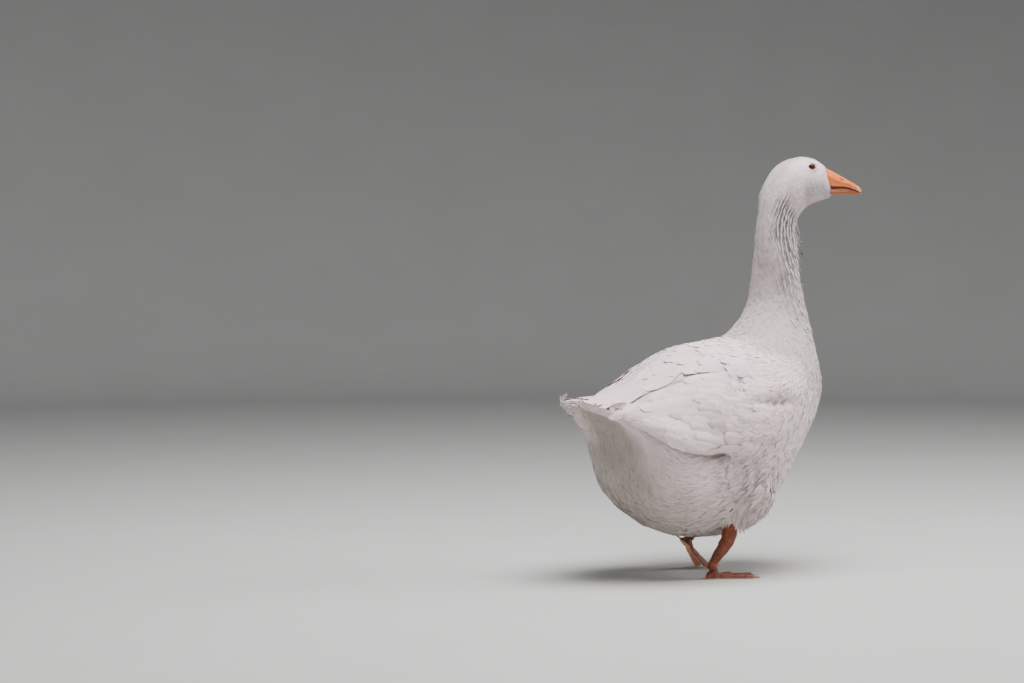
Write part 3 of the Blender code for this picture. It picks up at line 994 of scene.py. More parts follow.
        # Dark olive below, behind and at the chin: painted shade of the underside and of the hollow under
        # the tail, with some soiling on the belly.
        hollow = ease(-0.02, 0.45, np.abs(angles) - self.tail_rim(stations)) * ease(6.3, 7.3, stations)
        under = np.maximum(hollow, 0.85 * ease(0.55, 1.0, -up) * ease(5.2, 6.4, stations))
        chin = ease(0.5, 0.95, -up) * hill(stations, 0.8, 0.5)
        tint = blend(tint, cream, 0.80 * under[:, None])
        tint = blend(tint, cream, 0.22 * chin[:, None])
        # The neck is painted darker than the cheek, as shade on its upright sides, and a painted shadow
        # lies behind the jaw.
        neck = (0.24 + 0.16 * ease(-0.3, 0.6, up)) * ease(5.0, 3.8, stations)
        cheek = hill(stations, 0.9, 0.7) * ease(0.2, 0.8, out)
        jaw_shadow = hill(stations, 1.62, 0.42) * ease(0.9, 1.5, np.abs(angles)) * (0.6 + 0.4 * lock)
        tint = tint * ((1 - neck * (1 - 0.7 * cheek)) * (1 - 0.26 * jaw_shadow))[:, None]
        bill_side = ease(0.0, 0.6, -up) * ease(0.45, 0.15, stations)
        return blend(tint, bluish, 0.5 * bill_side[:, None])


# ---- the skin ----
@dataclass
class Skin:
    """One skin inside the solids of flesh by the plumage's depth, and the bare legs."""

    line: BodyLine
    markings: Markings
    voxel: float = 0.0037
    swell: float = 0.0012
    rounds: int = 60
    depths: Knots = (0.0009, 0.0012, 0.0018, 0.0022, 0.0028, 0.0032, 0.0034, 0.0034, 0.0020)
    tail_short: float = 0.014
    leg_voxel: float = 0.0013
    leg_red: Colour = (0.275, 0.052, 0.0095)
    # The soles' paler colour, brightened as painted light where they hang in shade.
    sole_pink: Colour = (0.92, 0.50, 0.30)
    shank_fold: float = 0.0042
    toe_fold: float = 0.0045
    wrinkle: float = 0.0058
    # How much of the gap over the right wing the left one has, as a groove and as a line of painted shade.
    left_gape: float = 0.2
    left_line: float = 0.25

    def build(self) -> None:
        """Shapes the body's skin, and takes the heights that feathers are laid by."""
        swollen = []
        for node in (*FLESH, "eye_left", "eye_right"):
            points, faces = merged(node)
            grow = self.swell if node in FLESH else 0.0
            swollen.append((points + vertex_normals(points, faces) * grow, faces))
        points, faces = through_modifier(*stacked(swollen), "REMESH", mode="VOXEL", voxel_size=self.voxel)
        points = relaxed(points, faces, self.rounds)
        self.stations, self.angles, _ = self.line.read(points)
        depth = by_knot(self.stations, self.depths)
        points = points - vertex_normals(points, faces) * (self.swell + depth)[:, None]
        points = self.webbed(relaxed(points, faces, 3), faces)
        points = self.modelled(points, faces)
        points[:, 0] += self.tail_short * ease(7.3, 7.95, self.stations)
        self.points, self.faces = points, faces
        self.normals = vertex_normals(points, faces)
        self.field = HeightField(self.points, self.normals)
        past = np.abs(self.angles) - self.markings.tail_rim(self.stations)
        past = np.where(self.stations > 7.85, -np.sign(self.normals[:, 2]), past)
        self.top, self.under = (self.part_of_tail(here) for here in (past < 0.08, past > -0.08))

    def part_of_tail(self, here: Array) -> HeightField:
        """The heights over one side of the tail alone, with all the rump in front of it."""
        here = (self.stations > 6.6) & (here | (self.stations < 7.3))
        return HeightField(self.points[here], self.normals[here])

    def webbed(self, points: Array, faces: Array, rounds: int = 50) -> Array:
        """Fills the creases round thighs and wings: hollow points rise to their neighbours' mean.

        Args:
            points: The skin's points.
            faces: Its triangles.
            rounds: How often they rise.

        Returns:
            The moved points.
        """
        links = Links(faces, len(points))
        low = within(4.8, 5.2, 6.5, 6.8, self.stations)
        low = low * ease(0.24, 0.20, points[:, 2])
        for _ in range(rounds):
            normals = vertex_normals(points, faces)
            rise = ((links.mean(points) - points) * normals).sum(1)
            points = points + normals * (np.maximum(rise, 0) * low)[:, None]
        return points

    def modelled(self, points: Array, faces: Array) -> Array:
        """The skin with its soft dents, folds and the hollow under the tail.

        A dent is a bell of distance from a place on the surface, stretched along one direction.

        Args:
            points: The skin's points.
            faces: Its triangles.

        Returns:
            The moved points.
        """
        marks, station, side = self.markings, self.stations, np.abs(self.angles)
        wing_low, wing_high = extent("wing_right")
        x, z = points[:, 0], points[:, 2]
        # The puffed shoulder over its crease, the fold behind it, and a pit under the wing.
        puff = hill(z, wing_high[2] - 0.064, 0.020) * hill(x, wing_high[0] - 0.092, 0.050)
        fold = hill(x, wing_high[0] - 0.172 + 0.2 * (z - wing_high[2] + 0.060), 0.008)
        fold = fold * hill(z, wing_high[2] - 0.060, 0.022)
        pit = hill(x, wing_low[0] + 0.198, 0.020) * hill(z, wing_low[2] + 0.004, 0.009)
        flank = ease(0.5, 0.9, np.abs(np.sin(self.angles)))
        move = (0.0045 * puff - 0.0125 * marks.crease(points) - 0.0100 * fold - 0.0080 * pit) * flank
        # The full flank, with a shallow valley in front of its border.
        ahead = marks.past_panel(points)
        panel = within(0.008, -0.012, -0.02, -0.13, ahead)
        panel -= 0.5 * within(-0.008, 0.008, 0.008, 0.030, ahead)
        move += 0.0068 * panel * within(0.11, 0.15, 0.21, 0.235, z) * flank
        # The tail's rim, and the hollow under it.
        rim = marks.tail_rim(station)
        move += 0.0045 * hill(side, rim - 0.05, 0.13) * ease(7.05, 7.25, station)
        move -= 0.0110 * ease(0.02, 0.45, side - rim) * ease(0.16, 0.33, z) * ease(0.09, 0.19, -x)
        # The wing's lower edge stands out over the flank; its upper edge gapes from the back.
        edge = marks.below(station, self.angles, marks.lower_edge)
        step = 0.0035 * hill(edge, -0.010, 0.014)
        step -= 0.0115 * within(-0.001, 0.006, 0.012, 0.060, edge)
        move += step * within(5.75, 6.1, 7.2, 7.45, station)
        gape = np.where(self.angles < 0, 1.0, self.left_gape)
        move -= 0.0070 * marks.gap(station, self.angles, 0.0038) * gape
        move -= 0.0070 * hill(station, 7.66, 0.05) * hill(side, 1.80, 0.12)
        # A fuller nape, and slow swells all over the body.
        move += 0.0045 * hill(station, 2.65, 0.60) * ease(0.2, 0.9, np.cos(self.angles))
        move += 0.0012 * ripple(points, 0.11, 3) * ease(4.0, 5.0, station)
        return points + vertex_normals(points, faces) * move[:, None]

    def legs(self) -> Quad:
        """The bare shanks and feet: the solids made one skin, smoothed, and given cross folds.

        A fold is a sine of the height along a shank, or of the distance from a foot's middle, with
        noise added to both.

        Returns:
            Points, faces, colours and how scaly each point is.
        """
        points, faces = stacked([merged(node) for node in BARE])
        points, faces = through_modifier(points, faces, "REMESH", mode="VOXEL", voxel_size=self.leg_voxel)
        points = relaxed(points, faces, 10)
        normals = vertex_normals(points, faces)
        folds = np.sin(2 * math.pi * points[:, 2] / self.shank_fold + 1.6 * ripple(points, 0.02, 5))
        rise = 0.00040 * folds + 0.0006 * ripple(points, 0.012, 6)
        under = np.zeros(len(points))
        for side in Side:
            node = "foot_" + side.label
            low, high = extent(node)
            solid, _ = merged(node)
            thin = np.linalg.svd(solid - solid.mean(0), full_matrices=False)[2][2]
            upper = thin * np.sign(thin[2])
            inside = ((points > low - 0.002) & (points < high + 0.002)).all(1)
            sole = inside & ((points - solid.mean(0)) @ upper < 0.004)
            reach = np.linalg.norm((points - middle(node))[:, :2], axis=1)
            plates = np.sin(2 * math.pi * reach / self.toe_fold) + ripple(points, 0.008, 7)
            rise = np.where(inside, 0.00030 * plates * ease(0.0012, 0.004, points[:, 2]), rise)
            under = np.where(sole, ease(0.0, 0.6, -normals @ upper), under)
        points = points + normals * rise[:, None]
        cloud = 0.5 + 0.5 * ripple(points, 0.016, 8)
        wrinkle = np.sin(2 * math.pi * points[:, 2] / self.wrinkle + 4.0 * ripple(points, 0.016, 9))
        light = (0.55 + 0.45 * cloud) * (0.72 + 0.40 * ease(-0.2, 0.9, wrinkle))
        # The soles take the pale pink, which is partly painted light.
        tint = blend(np.array(self.leg_red) * light[:, None], np.array(self.sole_pink), under[:, None])
        return points, faces, tint, 1 - 0.6 * under

    def dress(self) -> None:
        """Shows body and legs as one piece, with tint, bareness and furrows."""
        marks = self.markings
        # The skin under the feathers is painted a tenth darker, as shade in the gaps between them.
        tint = marks.tint(self.points, self.stations, self.angles) * 0.90
        # The furrows, the gap above each wing and the pit at its tip are painted near black: painted shade,
        # and in the furrows also their grey down.
        furrowed = marks.furrowed(self.points, self.stations, self.angles)
        gap = marks.gap(self.stations, self.angles, 0.0036) * np.where(self.angles < 0, 1.0, self.left_line)
        end = hill(self.stations, 7.62, 0.09) * hill(np.abs(self.angles), 1.76, 0.12)
        dark = np.clip(np.maximum.reduce([furrowed, gap, end]), 0, 1) ** 1.3
        tint = blend(tint, np.array(marks.streak), dark[:, None])
        leg_points, leg_faces, leg_tint, scaly = self.legs()
        points, faces = stacked([(self.points, self.faces), (leg_points, leg_faces)])
        Piece(
            "skin", points, faces, SkinFinish("skin"), "leg_skin",
            {"bare": np.concatenate([np.zeros(len(self.points)), scaly])},
            np.vstack([tint, leg_tint]), replaces=FLESH + BARE,
        ).show()


# ---- feathers ----
@dataclass(frozen=True)
class Cut:
    """How one kind of feather is cut and how finely it is meshed."""

    rows: int = 5
    columns: int = 4
    waist: float = 0.45
    widest: float = 0.45
    taper: float = 0.35
    rounding: float = 0.30
    ragged: float = 0.10
    camber: float = 0.05
    stiff: float = 0.0
    climb: float = 0.5
    laid: float = 1.0  # the share of the length that lies on the skin; the rest runs straight on


@dataclass
class VaneMesh:
    """Points, faces, the numbers each point carries, its colour, and its place on the root map."""

    points: Array
    faces: Array
    values: dict[str, Array]
    tint: Array
    root_map: Array


@dataclass
class Vanes:
    """A set of feathers of one cut: where each is rooted, and its length, width and rise."""

    roots: Array
    length: Array
    width: Array
    rise: Array
    cut: Cut
    tint: Array
    start: Optional[Array] = None
    base: float = 0.0003
    field: Optional[HeightField] = None
    keep: float = 0.0
    patch: float = 0.003

    def mesh(self, plumage: "Plumage") -> VaneMesh:
        """The vanes as one mesh, laid over the skin.

        A vane's middle line is walked from the root along the lie of the plumage, and each of its
        points is laid on the skin at a height that grows from base to rise as a power of the root's
        distance. The sides are set off square to it by half the width times a profile that swells
        from the waist and then tapers. They end short of the middle by the rounding times
        1 - sqrt(1 - side squared), and drop by the camber times the side squared.

        Args:
            plumage: The plumage the vanes belong to.

        Returns:
            The mesh and what its points carry.
        """
        cut, count, rng, skin = self.cut, len(self.roots), plumage.rng, self.field or plumage.skin.field
        u = np.linspace(0, 1, cut.rows)
        v = np.linspace(-1, 1, cut.columns)
        climb = self.base + (self.rise[:, None] - self.base) * u**cut.climb
        here = skin.lay(self.roots, climb[:, 0])
        way = plumage.lie(here, skin) if self.start is None else self.start
        _, normal, _ = skin.read(here)
        spine, ways, normals = [], [], []
        for row in range(cut.rows):
            laid = u[row] <= cut.laid
            if row:
                here = here + way * (self.length / (cut.rows - 1))[:, None]
                lift = normal * (climb[:, row] - climb[:, row - 1])[:, None]
                here = skin.lay(here, climb[:, row], 1) if laid else here + lift
            if laid:
                _, found, near = skin.read(here)
                normal = np.where(near[:, None], found, normal)
            if cut.stiff < 1.0 and row and laid:
                way = unit(way * cut.stiff + plumage.lie(here, skin) * (1 - cut.stiff))
            if laid:
                way = across_of(way, normal)
            else:
                normal = across_of(normal, way)
            spine.append(here)
            ways.append(way)
            normals.append(normal)
        spine, ways, normals = (np.stack(part, 1)[:, :, None] for part in (spine, ways, normals))
        swell = cut.waist + (1 - cut.waist) * np.sin(np.minimum(u / cut.widest, 1) * math.pi / 2)
        swell = swell * (1 - cut.taper * np.clip((u - cut.widest) / (1 - cut.widest), 0, 1) ** 2)
        out = (self.width / 2)[:, None, None] * swell[None, :, None] * v
        back = cut.rounding * (1 - np.sqrt(1 - (0.97 * v) ** 2)) * u[:, None] ** 1.5
        torn = cut.ragged * rng.uniform(-1, 1, (count, 1, cut.columns)) * u[:, None] ** 4
        back = back * np.minimum(1.0, (self.width / self.length * 1.6)[:, None, None])
        drawn = self.length[:, None, None] * (torn - back)
        sides = np.cross(normals, ways)
        points = spine + sides * out[..., None] + ways * drawn[..., None]
        droop = cut.camber * self.width[:, None, None] * (v**2) * np.sin(u * math.pi * 0.6)[:, None]
        tuck = rng.uniform(-1, 1, (count, 1, cut.columns)) * 0.0002 * u[:, None]
        shape = (count, cut.rows, cut.columns)
        laid = np.broadcast_to((u <= cut.laid)[:, None], shape).ravel()
        heights = (climb[:, :, None] - droop + tuck).ravel()
        flat = points.reshape(-1, 3)
        if self.keep:
            flat = plumage.held(flat, self.keep)
        free = flat - (normals * droop[..., None]).reshape(-1, 3)
        points = np.where(laid[:, None], skin.lay(flat, heights, 1), free)
        starts = np.arange(count)[:, None, None] * cut.rows * cut.columns
        faces = (starts + grid_faces(cut.rows, cut.columns)).reshape(-1, 4)
        carried = {"along": u[:, None], "across": v, "tone": rng.uniform(0, 1, (count, 1, 1))}
        values = {label: np.broadcast_to(value, shape).ravel() for label, value in carried.items()}
        tint = np.repeat(self.tint, cut.rows * cut.columns, axis=0)
        patch = self.patch * np.stack(np.broadcast_arrays(v / 2, u[:, None] - 0.5), -1)
        place = plumage.root_map(self.roots)[:, None, None, :] + patch
        return VaneMesh(points, faces, values, tint, place.reshape(-1, 2))


@dataclass
class Plumage:
    """All feathers over the skin."""

    skin: Skin
    line: BodyLine
    markings: Markings
    seed: int = 7
    finish: FeatherFinish = FeatherFinish("plumage")
    quill: FeatherFinish = FeatherFinish(
        "quill", lines=60.0, slant=0.18, rim=0.02, depth=0.00014, contrast=0.060
    )
    # Tufts whose sides are painted darker, as shade on their roofed shape.
    roofed: FeatherFinish = FeatherFinish("roofed_tufts", sides=0.72)
    eye_room: float = 0.0094
    # How far from the body's line the skin is looked for.
    neck_reach: float = 0.09
    tail_reach: float = 0.16
    body_reach: float = 0.22
    # The distance between two tufts of a furrow, and between two knots of the neck.
    tuft_pitch: float = 0.0090
    knot_gap: float = 0.105
    # By knot of the body line: spacing, length and width of the feathers, in metres.
    spacing: Knots = (0.0013, 0.0018, 0.0024, 0.0030, 0.0038, 0.0045, 0.0047, 0.0047, 0.0044)
    length: Knots = (0.0042, 0.0085, 0.0140, 0.0200, 0.0270, 0.0320, 0.0350, 0.0360, 0.0360)
    width: Knots = (0.0024, 0.0036, 0.0046, 0.0058, 0.0078, 0.0092, 0.0098, 0.0098, 0.0090)

    def __post_init__(self) -> None:
        """Starts the chance that the feathers share."""
        self.rng = np.random.default_rng(self.seed)

    def root_map(self, points: Array) -> Array:
        """Places on the skin unrolled about the body's line: angle by station."""
        stations, angles, _ = self.line.read(points)
        return np.stack([0.03 + 0.94 * (angles / (2 * math.pi) + 0.5), 0.02 + 0.96 * stations / 8.0], -1)

    def on_skin(self, stations: Array, angles: Array, far: float) -> Pair:
        """Places on the skin.

        Args:
            stations: Stations on the body's line.
            angles: Angles about it.
            far: How far from the line the skin is looked for.

        Returns:
            The places, and whether each was found.
        """
        return self.skin.field.cast(self.line.rays(stations, angles), far)

    def tint(self, roots: Array, last: float = 8.0, turn: float = 1.0) -> Array:
        """The markings' colours at roots, whose stations stop at the last and whose angles are turned."""
        stations, angles, _ = self.line.read(roots)
        return self.markings.tint(roots, np.minimum(stations, last), angles * turn)

    def lie(self, points: Array, surface: Optional[HeightField] = None) -> Array:
        """The way feathers lie: towards the tail, sinking on flanks and thighs, and a little unruly.

        Args:
            points: Where to read it.
            surface: The surface they lie on, if it is not the whole skin.

        Returns:
            A direction along the surface for each point.
        """
        stations, angles, way = self.line.read(points)
        thigh = self.on_thigh(points)
        down = -np.cos(angles)
        sink = 0.30 * within(4.6, 5.4, 6.4, 7.0, stations) * ease(-0.3, 0.9, down)
        climb = 0.9 * ease(6.5, 7.1, stations) * ease(-0.1, 0.5, down)
        shoulder = 0.55 * hill(stations, 5.0, 0.7) * hill(np.abs(angles), 1.6, 0.6)
        way = way + UP * (climb - sink - shoulder - 2.2 * thigh)[:, None]
        ruffled = self.markings.ruffled(points)
        way = way - UP * (0.45 * ruffled * (1 - thigh))[:, None]
        unruly = (0.06 + 0.26 * ruffled)[:, None]
        stray = np.stack([ripple(points, 0.045, 21 + axis) for axis in range(3)], -1)
        _, normal, _ = (surface or self.skin.field).read(points)
        return across_of(unit(way) + unruly * stray, normal)

    def held(self, points: Array, keep: float) -> Array:
        """Points moved round the body so that feathers end at the wing's edges.

        Args:
            points: Points of vanes.
            keep: 1 for the wing's feathers, -1 for those of the back above it.

        Returns:
            The moved points.
        """
        marks = self.markings
        stations, angles, way = self.line.read(points)
        _, normal, near = self.skin.field.read(points)
        away = marks.below(stations, angles, marks.upper_edge) * keep
        push = keep * np.clip(0.0002 - away, 0, 0.022) * within(6.74, 6.94, 7.66, 7.80, stations)
        if keep > 0:
            over = marks.below(stations, angles, marks.lower_edge)
            push -= np.clip(over - 0.001, 0, 0.024) * within(6.0, 6.2, 7.3, 7.5, stations)
        return points + np.cross(way, normal) * (np.sign(angles) * push * near)[:, None]

    def on_thigh(self, points: Array) -> Array:
        """1 on the feathered thighs below the belly, else 0."""
        total = np.zeros(len(points))
        for side in Side:
            low, high = extent("thigh_" + side.label)
            inside = ease(-0.010, 0.002, points - low) * ease(-0.010, 0.002, high - points)
            total = np.maximum(total, inside.prod(-1) * ease(0.155, 0.115, points[:, 2]))
        return total

    def scattered(self) -> Triple:
        """Roots strewn over the skin, none nearer to the next than the spacing there.

        Returns:
            Roots, and their stations and angles.
        """
        points, faces = self.skin.points, self.skin.faces
        corners = points[faces]
        sides = corners[:, 1:] - corners[:, :1]
        area = np.linalg.norm(np.cross(sides[:, 0], sides[:, 1]), axis=1)
        pitch = by_knot(self.skin.stations[faces[:, 0]], self.spacing)
        pick = np.repeat(np.arange(len(faces)), self.rng.poisson(1.3 * area / pitch**2))
        a, b = self.rng.uniform(0, 1, (2, len(pick), 1))
        fold = (a + b) > 1
        a, b = np.where(fold, 1 - a, a), np.where(fold, 1 - b, b)
        roots = corners[pick, 0] * (1 - a - b) + corners[pick, 1] * a + corners[pick, 2] * b
        pitch = pitch[pick]
        order = self.rng.permutation(len(roots))
        tree = KDTree(len(roots))
        for index, root in enumerate(roots):
            tree.insert(root, index)
        tree.balance()
        free = np.ones(len(roots), bool)
        kept = []
        for index in order:
            if free[index]:
                kept.append(index)
                for _, other, _ in tree.find_range(roots[index], pitch[index]):
                    free[other] = False
        roots = roots[np.array(kept)]
        stations, angles, _ = self.line.read(roots)
        return roots, stations, angles

    def tract(self, roots: Array, stations: Array, angles: Array) -> Array:
        """Which tract each root belongs to."""
        labels = np.full(len(roots), Tract.FLANK.value, dtype="U8")
        labels[np.cos(angles) > 0.0] = Tract.BACK.value
        labels[stations < 5.15] = Tract.BREAST.value
        labels[stations > 6.75] = Tract.REAR.value
        labels[(stations > 7.0) & ~self.markings.under_tail(stations, angles)] = Tract.TAIL.value
        labels[stations < 4.0] = Tract.NECK.value
        labels[stations < 1.75] = Tract.FACE.value
        labels[self.on_thigh(roots) > 0.4] = Tract.THIGHS.value
        return labels

    def build(self) -> Iterator[Piece]:
        """The body's feathers, tract by tract."""
        cuts = {
            Tract.FACE: Cut(4, 3, rounding=0.35, ragged=0.15, camber=0.10),
            Tract.NECK: Cut(5, 3, rounding=0.55, ragged=0.16, camber=0.14, taper=0.55),
            Tract.BREAST: Cut(6, 4, rounding=0.60, ragged=0.12, camber=0.10, taper=0.55),
            Tract.BACK: Cut(6, 4, rounding=0.50, ragged=0.09, camber=0.08, taper=0.50),
            Tract.FLANK: Cut(6, 4, rounding=0.60, ragged=0.16, camber=0.12, taper=0.60),
            Tract.REAR: Cut(6, 4, rounding=0.55, ragged=0.12, camber=0.08, taper=0.50),
            Tract.TAIL: Cut(6, 4, rounding=0.45, ragged=0.08, camber=0.06, taper=0.45),
            Tract.THIGHS: Cut(6, 4, rounding=0.65, ragged=0.20, camber=0.18, taper=0.65, climb=0.8),
        }
        roots, stations, angles = self.scattered()
        marks, skin = self.markings, self.skin
        under = marks.under_tail(stations, angles)
        clear = self.clear_of_eyes(roots, stations) & (stations < np.where(under, 7.82, 7.30))
        clear &= ~marks.on_wing(stations, angles)
        roots, stations, angles = roots[clear], stations[clear], angles[clear]
        labels = self.tract(roots, stations, angles)
        length = by_knot(stations, self.length) * self.rng.uniform(0.82, 1.18, len(roots))
        width = by_knot(stations, self.width) * self.rng.uniform(0.80, 1.20, len(roots))
        rise = by_knot(stations, skin.depths) * self.rng.uniform(0.80, 1.05, len(roots))
        rise = rise * (1 - 0.40 * ease(6.7, 7.0, stations) * ease(2.0, 2.4, np.abs(angles)))
        rise = rise * (1 - 0.30 * ease(5.0, 5.6, stations) * ease(0.1, 0.6, np.cos(angles)))
        rise = rise * (1 + 0.5 * marks.ruffled(roots) * self.rng.uniform(0, 1, len(roots)))
        thigh = labels == Tract.THIGHS.value
        on_thigh = ((length, 0.80), (width, 0.72), (rise, 1.05))
        length, width, rise = (np.where(thigh, value * share, value) for value, share in on_thigh)
        furrowed = marks.furrowed(roots, stations, angles)
        rise = rise * (1 - 0.45 * furrowed)
        # Feathers in the furrows are darkened towards near black: painted shade, with the furrows' grey
        # down.
        grey = furrowed**1.6 * self.rng.uniform(0.65, 1.0, len(roots))
        tint = blend(marks.tint(roots, stations, angles), np.array(marks.streak), grey[:, None])
        beneath = (stations > 7.0) & (labels == Tract.REAR.value)
        for tract, cut in cuts.items():
            here = labels == tract.value
            surface = skin.top if tract is Tract.TAIL else None
            sets = [
                Vanes(roots[part], length[part], width[part], rise[part], cut, tint[part], field=lain)
                for part, lain in ((here & ~beneath, surface), (here & beneath, skin.under))
                if part.any()
            ]
            if sets:
                yield self.piece("plumage_" + tract.value, *sets)
        yield self.piece("plumage_furrows", self.furrows(), finish=self.roofed)
        yield self.piece("plumage_locks", self.locks(roots, stations, angles))
        yield self.piece("plumage_cuffs", self.cuffs(roots))

    def locks(self, roots: Array, stations: Array, angles: Array) -> Vanes:
        """Longer, roofed locks that stand out of the ruffled plumage over the thighs."""
        rng = self.rng
        weight = self.markings.ruffled(roots) * ease(0.25, 0.6, np.abs(np.sin(angles)))
        weight *= 1 - ease(-0.02, 0.10, np.interp(stations, *self.markings.lower_edge) - np.abs(angles))
        pick = rng.uniform(0, 1, len(roots)) < 0.34 * weight
        roots, weight = roots[pick], weight[pick]
        count = len(roots)
        length, width = rng.uniform(0.028, 0.050, count), rng.uniform(0.0085, 0.0150, count)
        rise = 0.0040 + 0.0040 * weight * rng.uniform(0.2, 1, count)
        cut = Cut(8, 5, 0.5, taper=0.75, rounding=0.65, camber=0.26, climb=0.8)
        return Vanes(roots, length, width, rise, cut, self.tint(roots))

    def cuffs(self, roots: Array) -> Vanes:
        """Thin strands round the lower end of each thigh that hang free over the top of the shank."""
        rng = self.rng
        low = min(extent("thigh_" + side.label)[0][2] for side in Side)
        roots = roots[(self.on_thigh(roots) > 0.2) & (roots[:, 2] < low + 0.050)]
        roots = np.repeat(roots, 2, axis=0)
        _, normal, _ = self.skin.field.read(roots)
        roots, normal = roots[normal[:, 2] > -0.75], normal[normal[:, 2] > -0.75]
        count = len(roots)
        way = across_of(-UP + 0.15 * rng.normal(size=(count, 3)), normal)
        length, width = rng.uniform(0.020, 0.036, count), rng.uniform(0.0026, 0.0052, count)
        cut = Cut(6, 3, 0.6, taper=0.85, rounding=0.65, camber=0.20, laid=0.1)
        return Vanes(roots, length, width, rng.uniform(0.0012, 0.0030, count), cut, self.tint(roots), way)

    def furrows(self) -> Vanes:
        """Pointed, roofed tufts in columns down the upper neck, with dark furrows between the columns.

        A column is a line of equal furrow count, and its tufts follow each other at half their length.
        Chance is drawn for the half counts too, which have no tufts.
        """
        marks, rng = self.markings, self.rng
        steps = np.arange(1.55, 3.75, self.tuft_pitch / self.knot_gap)
        halves = np.arange(-marks.ridges, marks.ridges)
        stations, counts = (grid.ravel() for grid in np.meshgrid(steps, halves / 2.0, indexing="ij"))
        stations = stations + rng.uniform(-0.035, 0.035, len(stations))
        angles = marks.column(stations, counts, np.sign(counts)) + rng.normal(0, 0.020, len(stations))
        whole = (counts % 1 == 0) & (np.abs(angles) < math.pi) & (np.sign(angles) == np.sign(counts))
        stations, angles = stations[whole], angles[whole]
        roots, found = self.on_skin(stations, angles, self.neck_reach)
        share = marks.furrowed(roots, stations, angles)
        keep = found & (share > rng.uniform(0.02, 0.20, len(share)))
        stations, angles, roots = stations[keep], angles[keep], roots[keep]
        count, way = len(roots), self.furrow_way(stations, angles, roots)
        length = rng.uniform(0.0150, 0.0215, count)
        width = rng.uniform(0.0036, 0.0056, count) * np.interp(stations, (1.5, 2.2, 3.3), (0.80, 1.0, 1.50))
        throat = ease(1.9, 2.6, np.abs(angles)) * ease(1.95, 2.35, stations)
        rise = rng.uniform(0.0024, 0.0040, count) + 0.0110 * throat * rng.uniform(0, 1, count) ** 2
        cut = Cut(6, 5, 0.55, taper=0.75, rounding=0.65, camber=0.34, stiff=0.9, climb=0.8)
        return Vanes(roots, length, width, rise, cut, marks.tint(roots, stations, angles), way, 0.0010)

    def furrow_way(self, stations: Array, angles: Array, roots: Array) -> Array:
        """The direction down a furrow's column: towards the same count a little further down."""
        marks, further, signs = self.markings, stations + 0.08, np.sign(angles)
        turned = marks.column(further, marks.furrow(stations, angles), signs)
        aim, found = self.on_skin(further, turned, self.neck_reach)
        _, normal, _ = self.skin.field.read(roots)
        return across_of(np.where(found[:, None], aim - roots, self.lie(roots)), normal)

    def piece(self, name: str, *sets: Vanes, finish: Optional[FeatherFinish] = None) -> Piece:
        """Sets of vanes as one piece."""
        made = [vanes.mesh(self) for vanes in sets]
        points, faces = stacked([(mesh.points, mesh.faces) for mesh in made])
        values = {label: np.concatenate([mesh.values[label] for mesh in made]) for label in made[0].values}
        tint = np.vstack([mesh.tint for mesh in made])
        root_map = np.vstack([mesh.root_map for mesh in made])
        return Piece(name, points, faces, finish or self.finish, "feathers", values, tint, root_map)

    def clear_of_eyes(self, roots: Array, stations: Array) -> Array:
        """Whether a feather rooted here stays off both eyes."""
        way = self.lie(roots)
        reach = by_knot(stations, self.length)
        clear = np.ones(len(roots), bool)
        for side in Side:
            eye = middle("eye_" + side.label)
            share = np.clip(((eye - roots) * way).sum(1) / reach, 0, 1)
            nearest = roots + way * (share * reach)[:, None]
            clear &= np.linalg.norm(nearest - eye, axis=1) > self.eye_room
        return clear


# ---- quills of wings and tail ----
@dataclass(frozen=True)
class QuillRow:
    """A row of like feathers across the wing: where it is rooted, how many, and their size."""

    place: float
    count: int
    length: float
    width: float
    rise: float
    low: float = 0.04
    high: float = 0.96


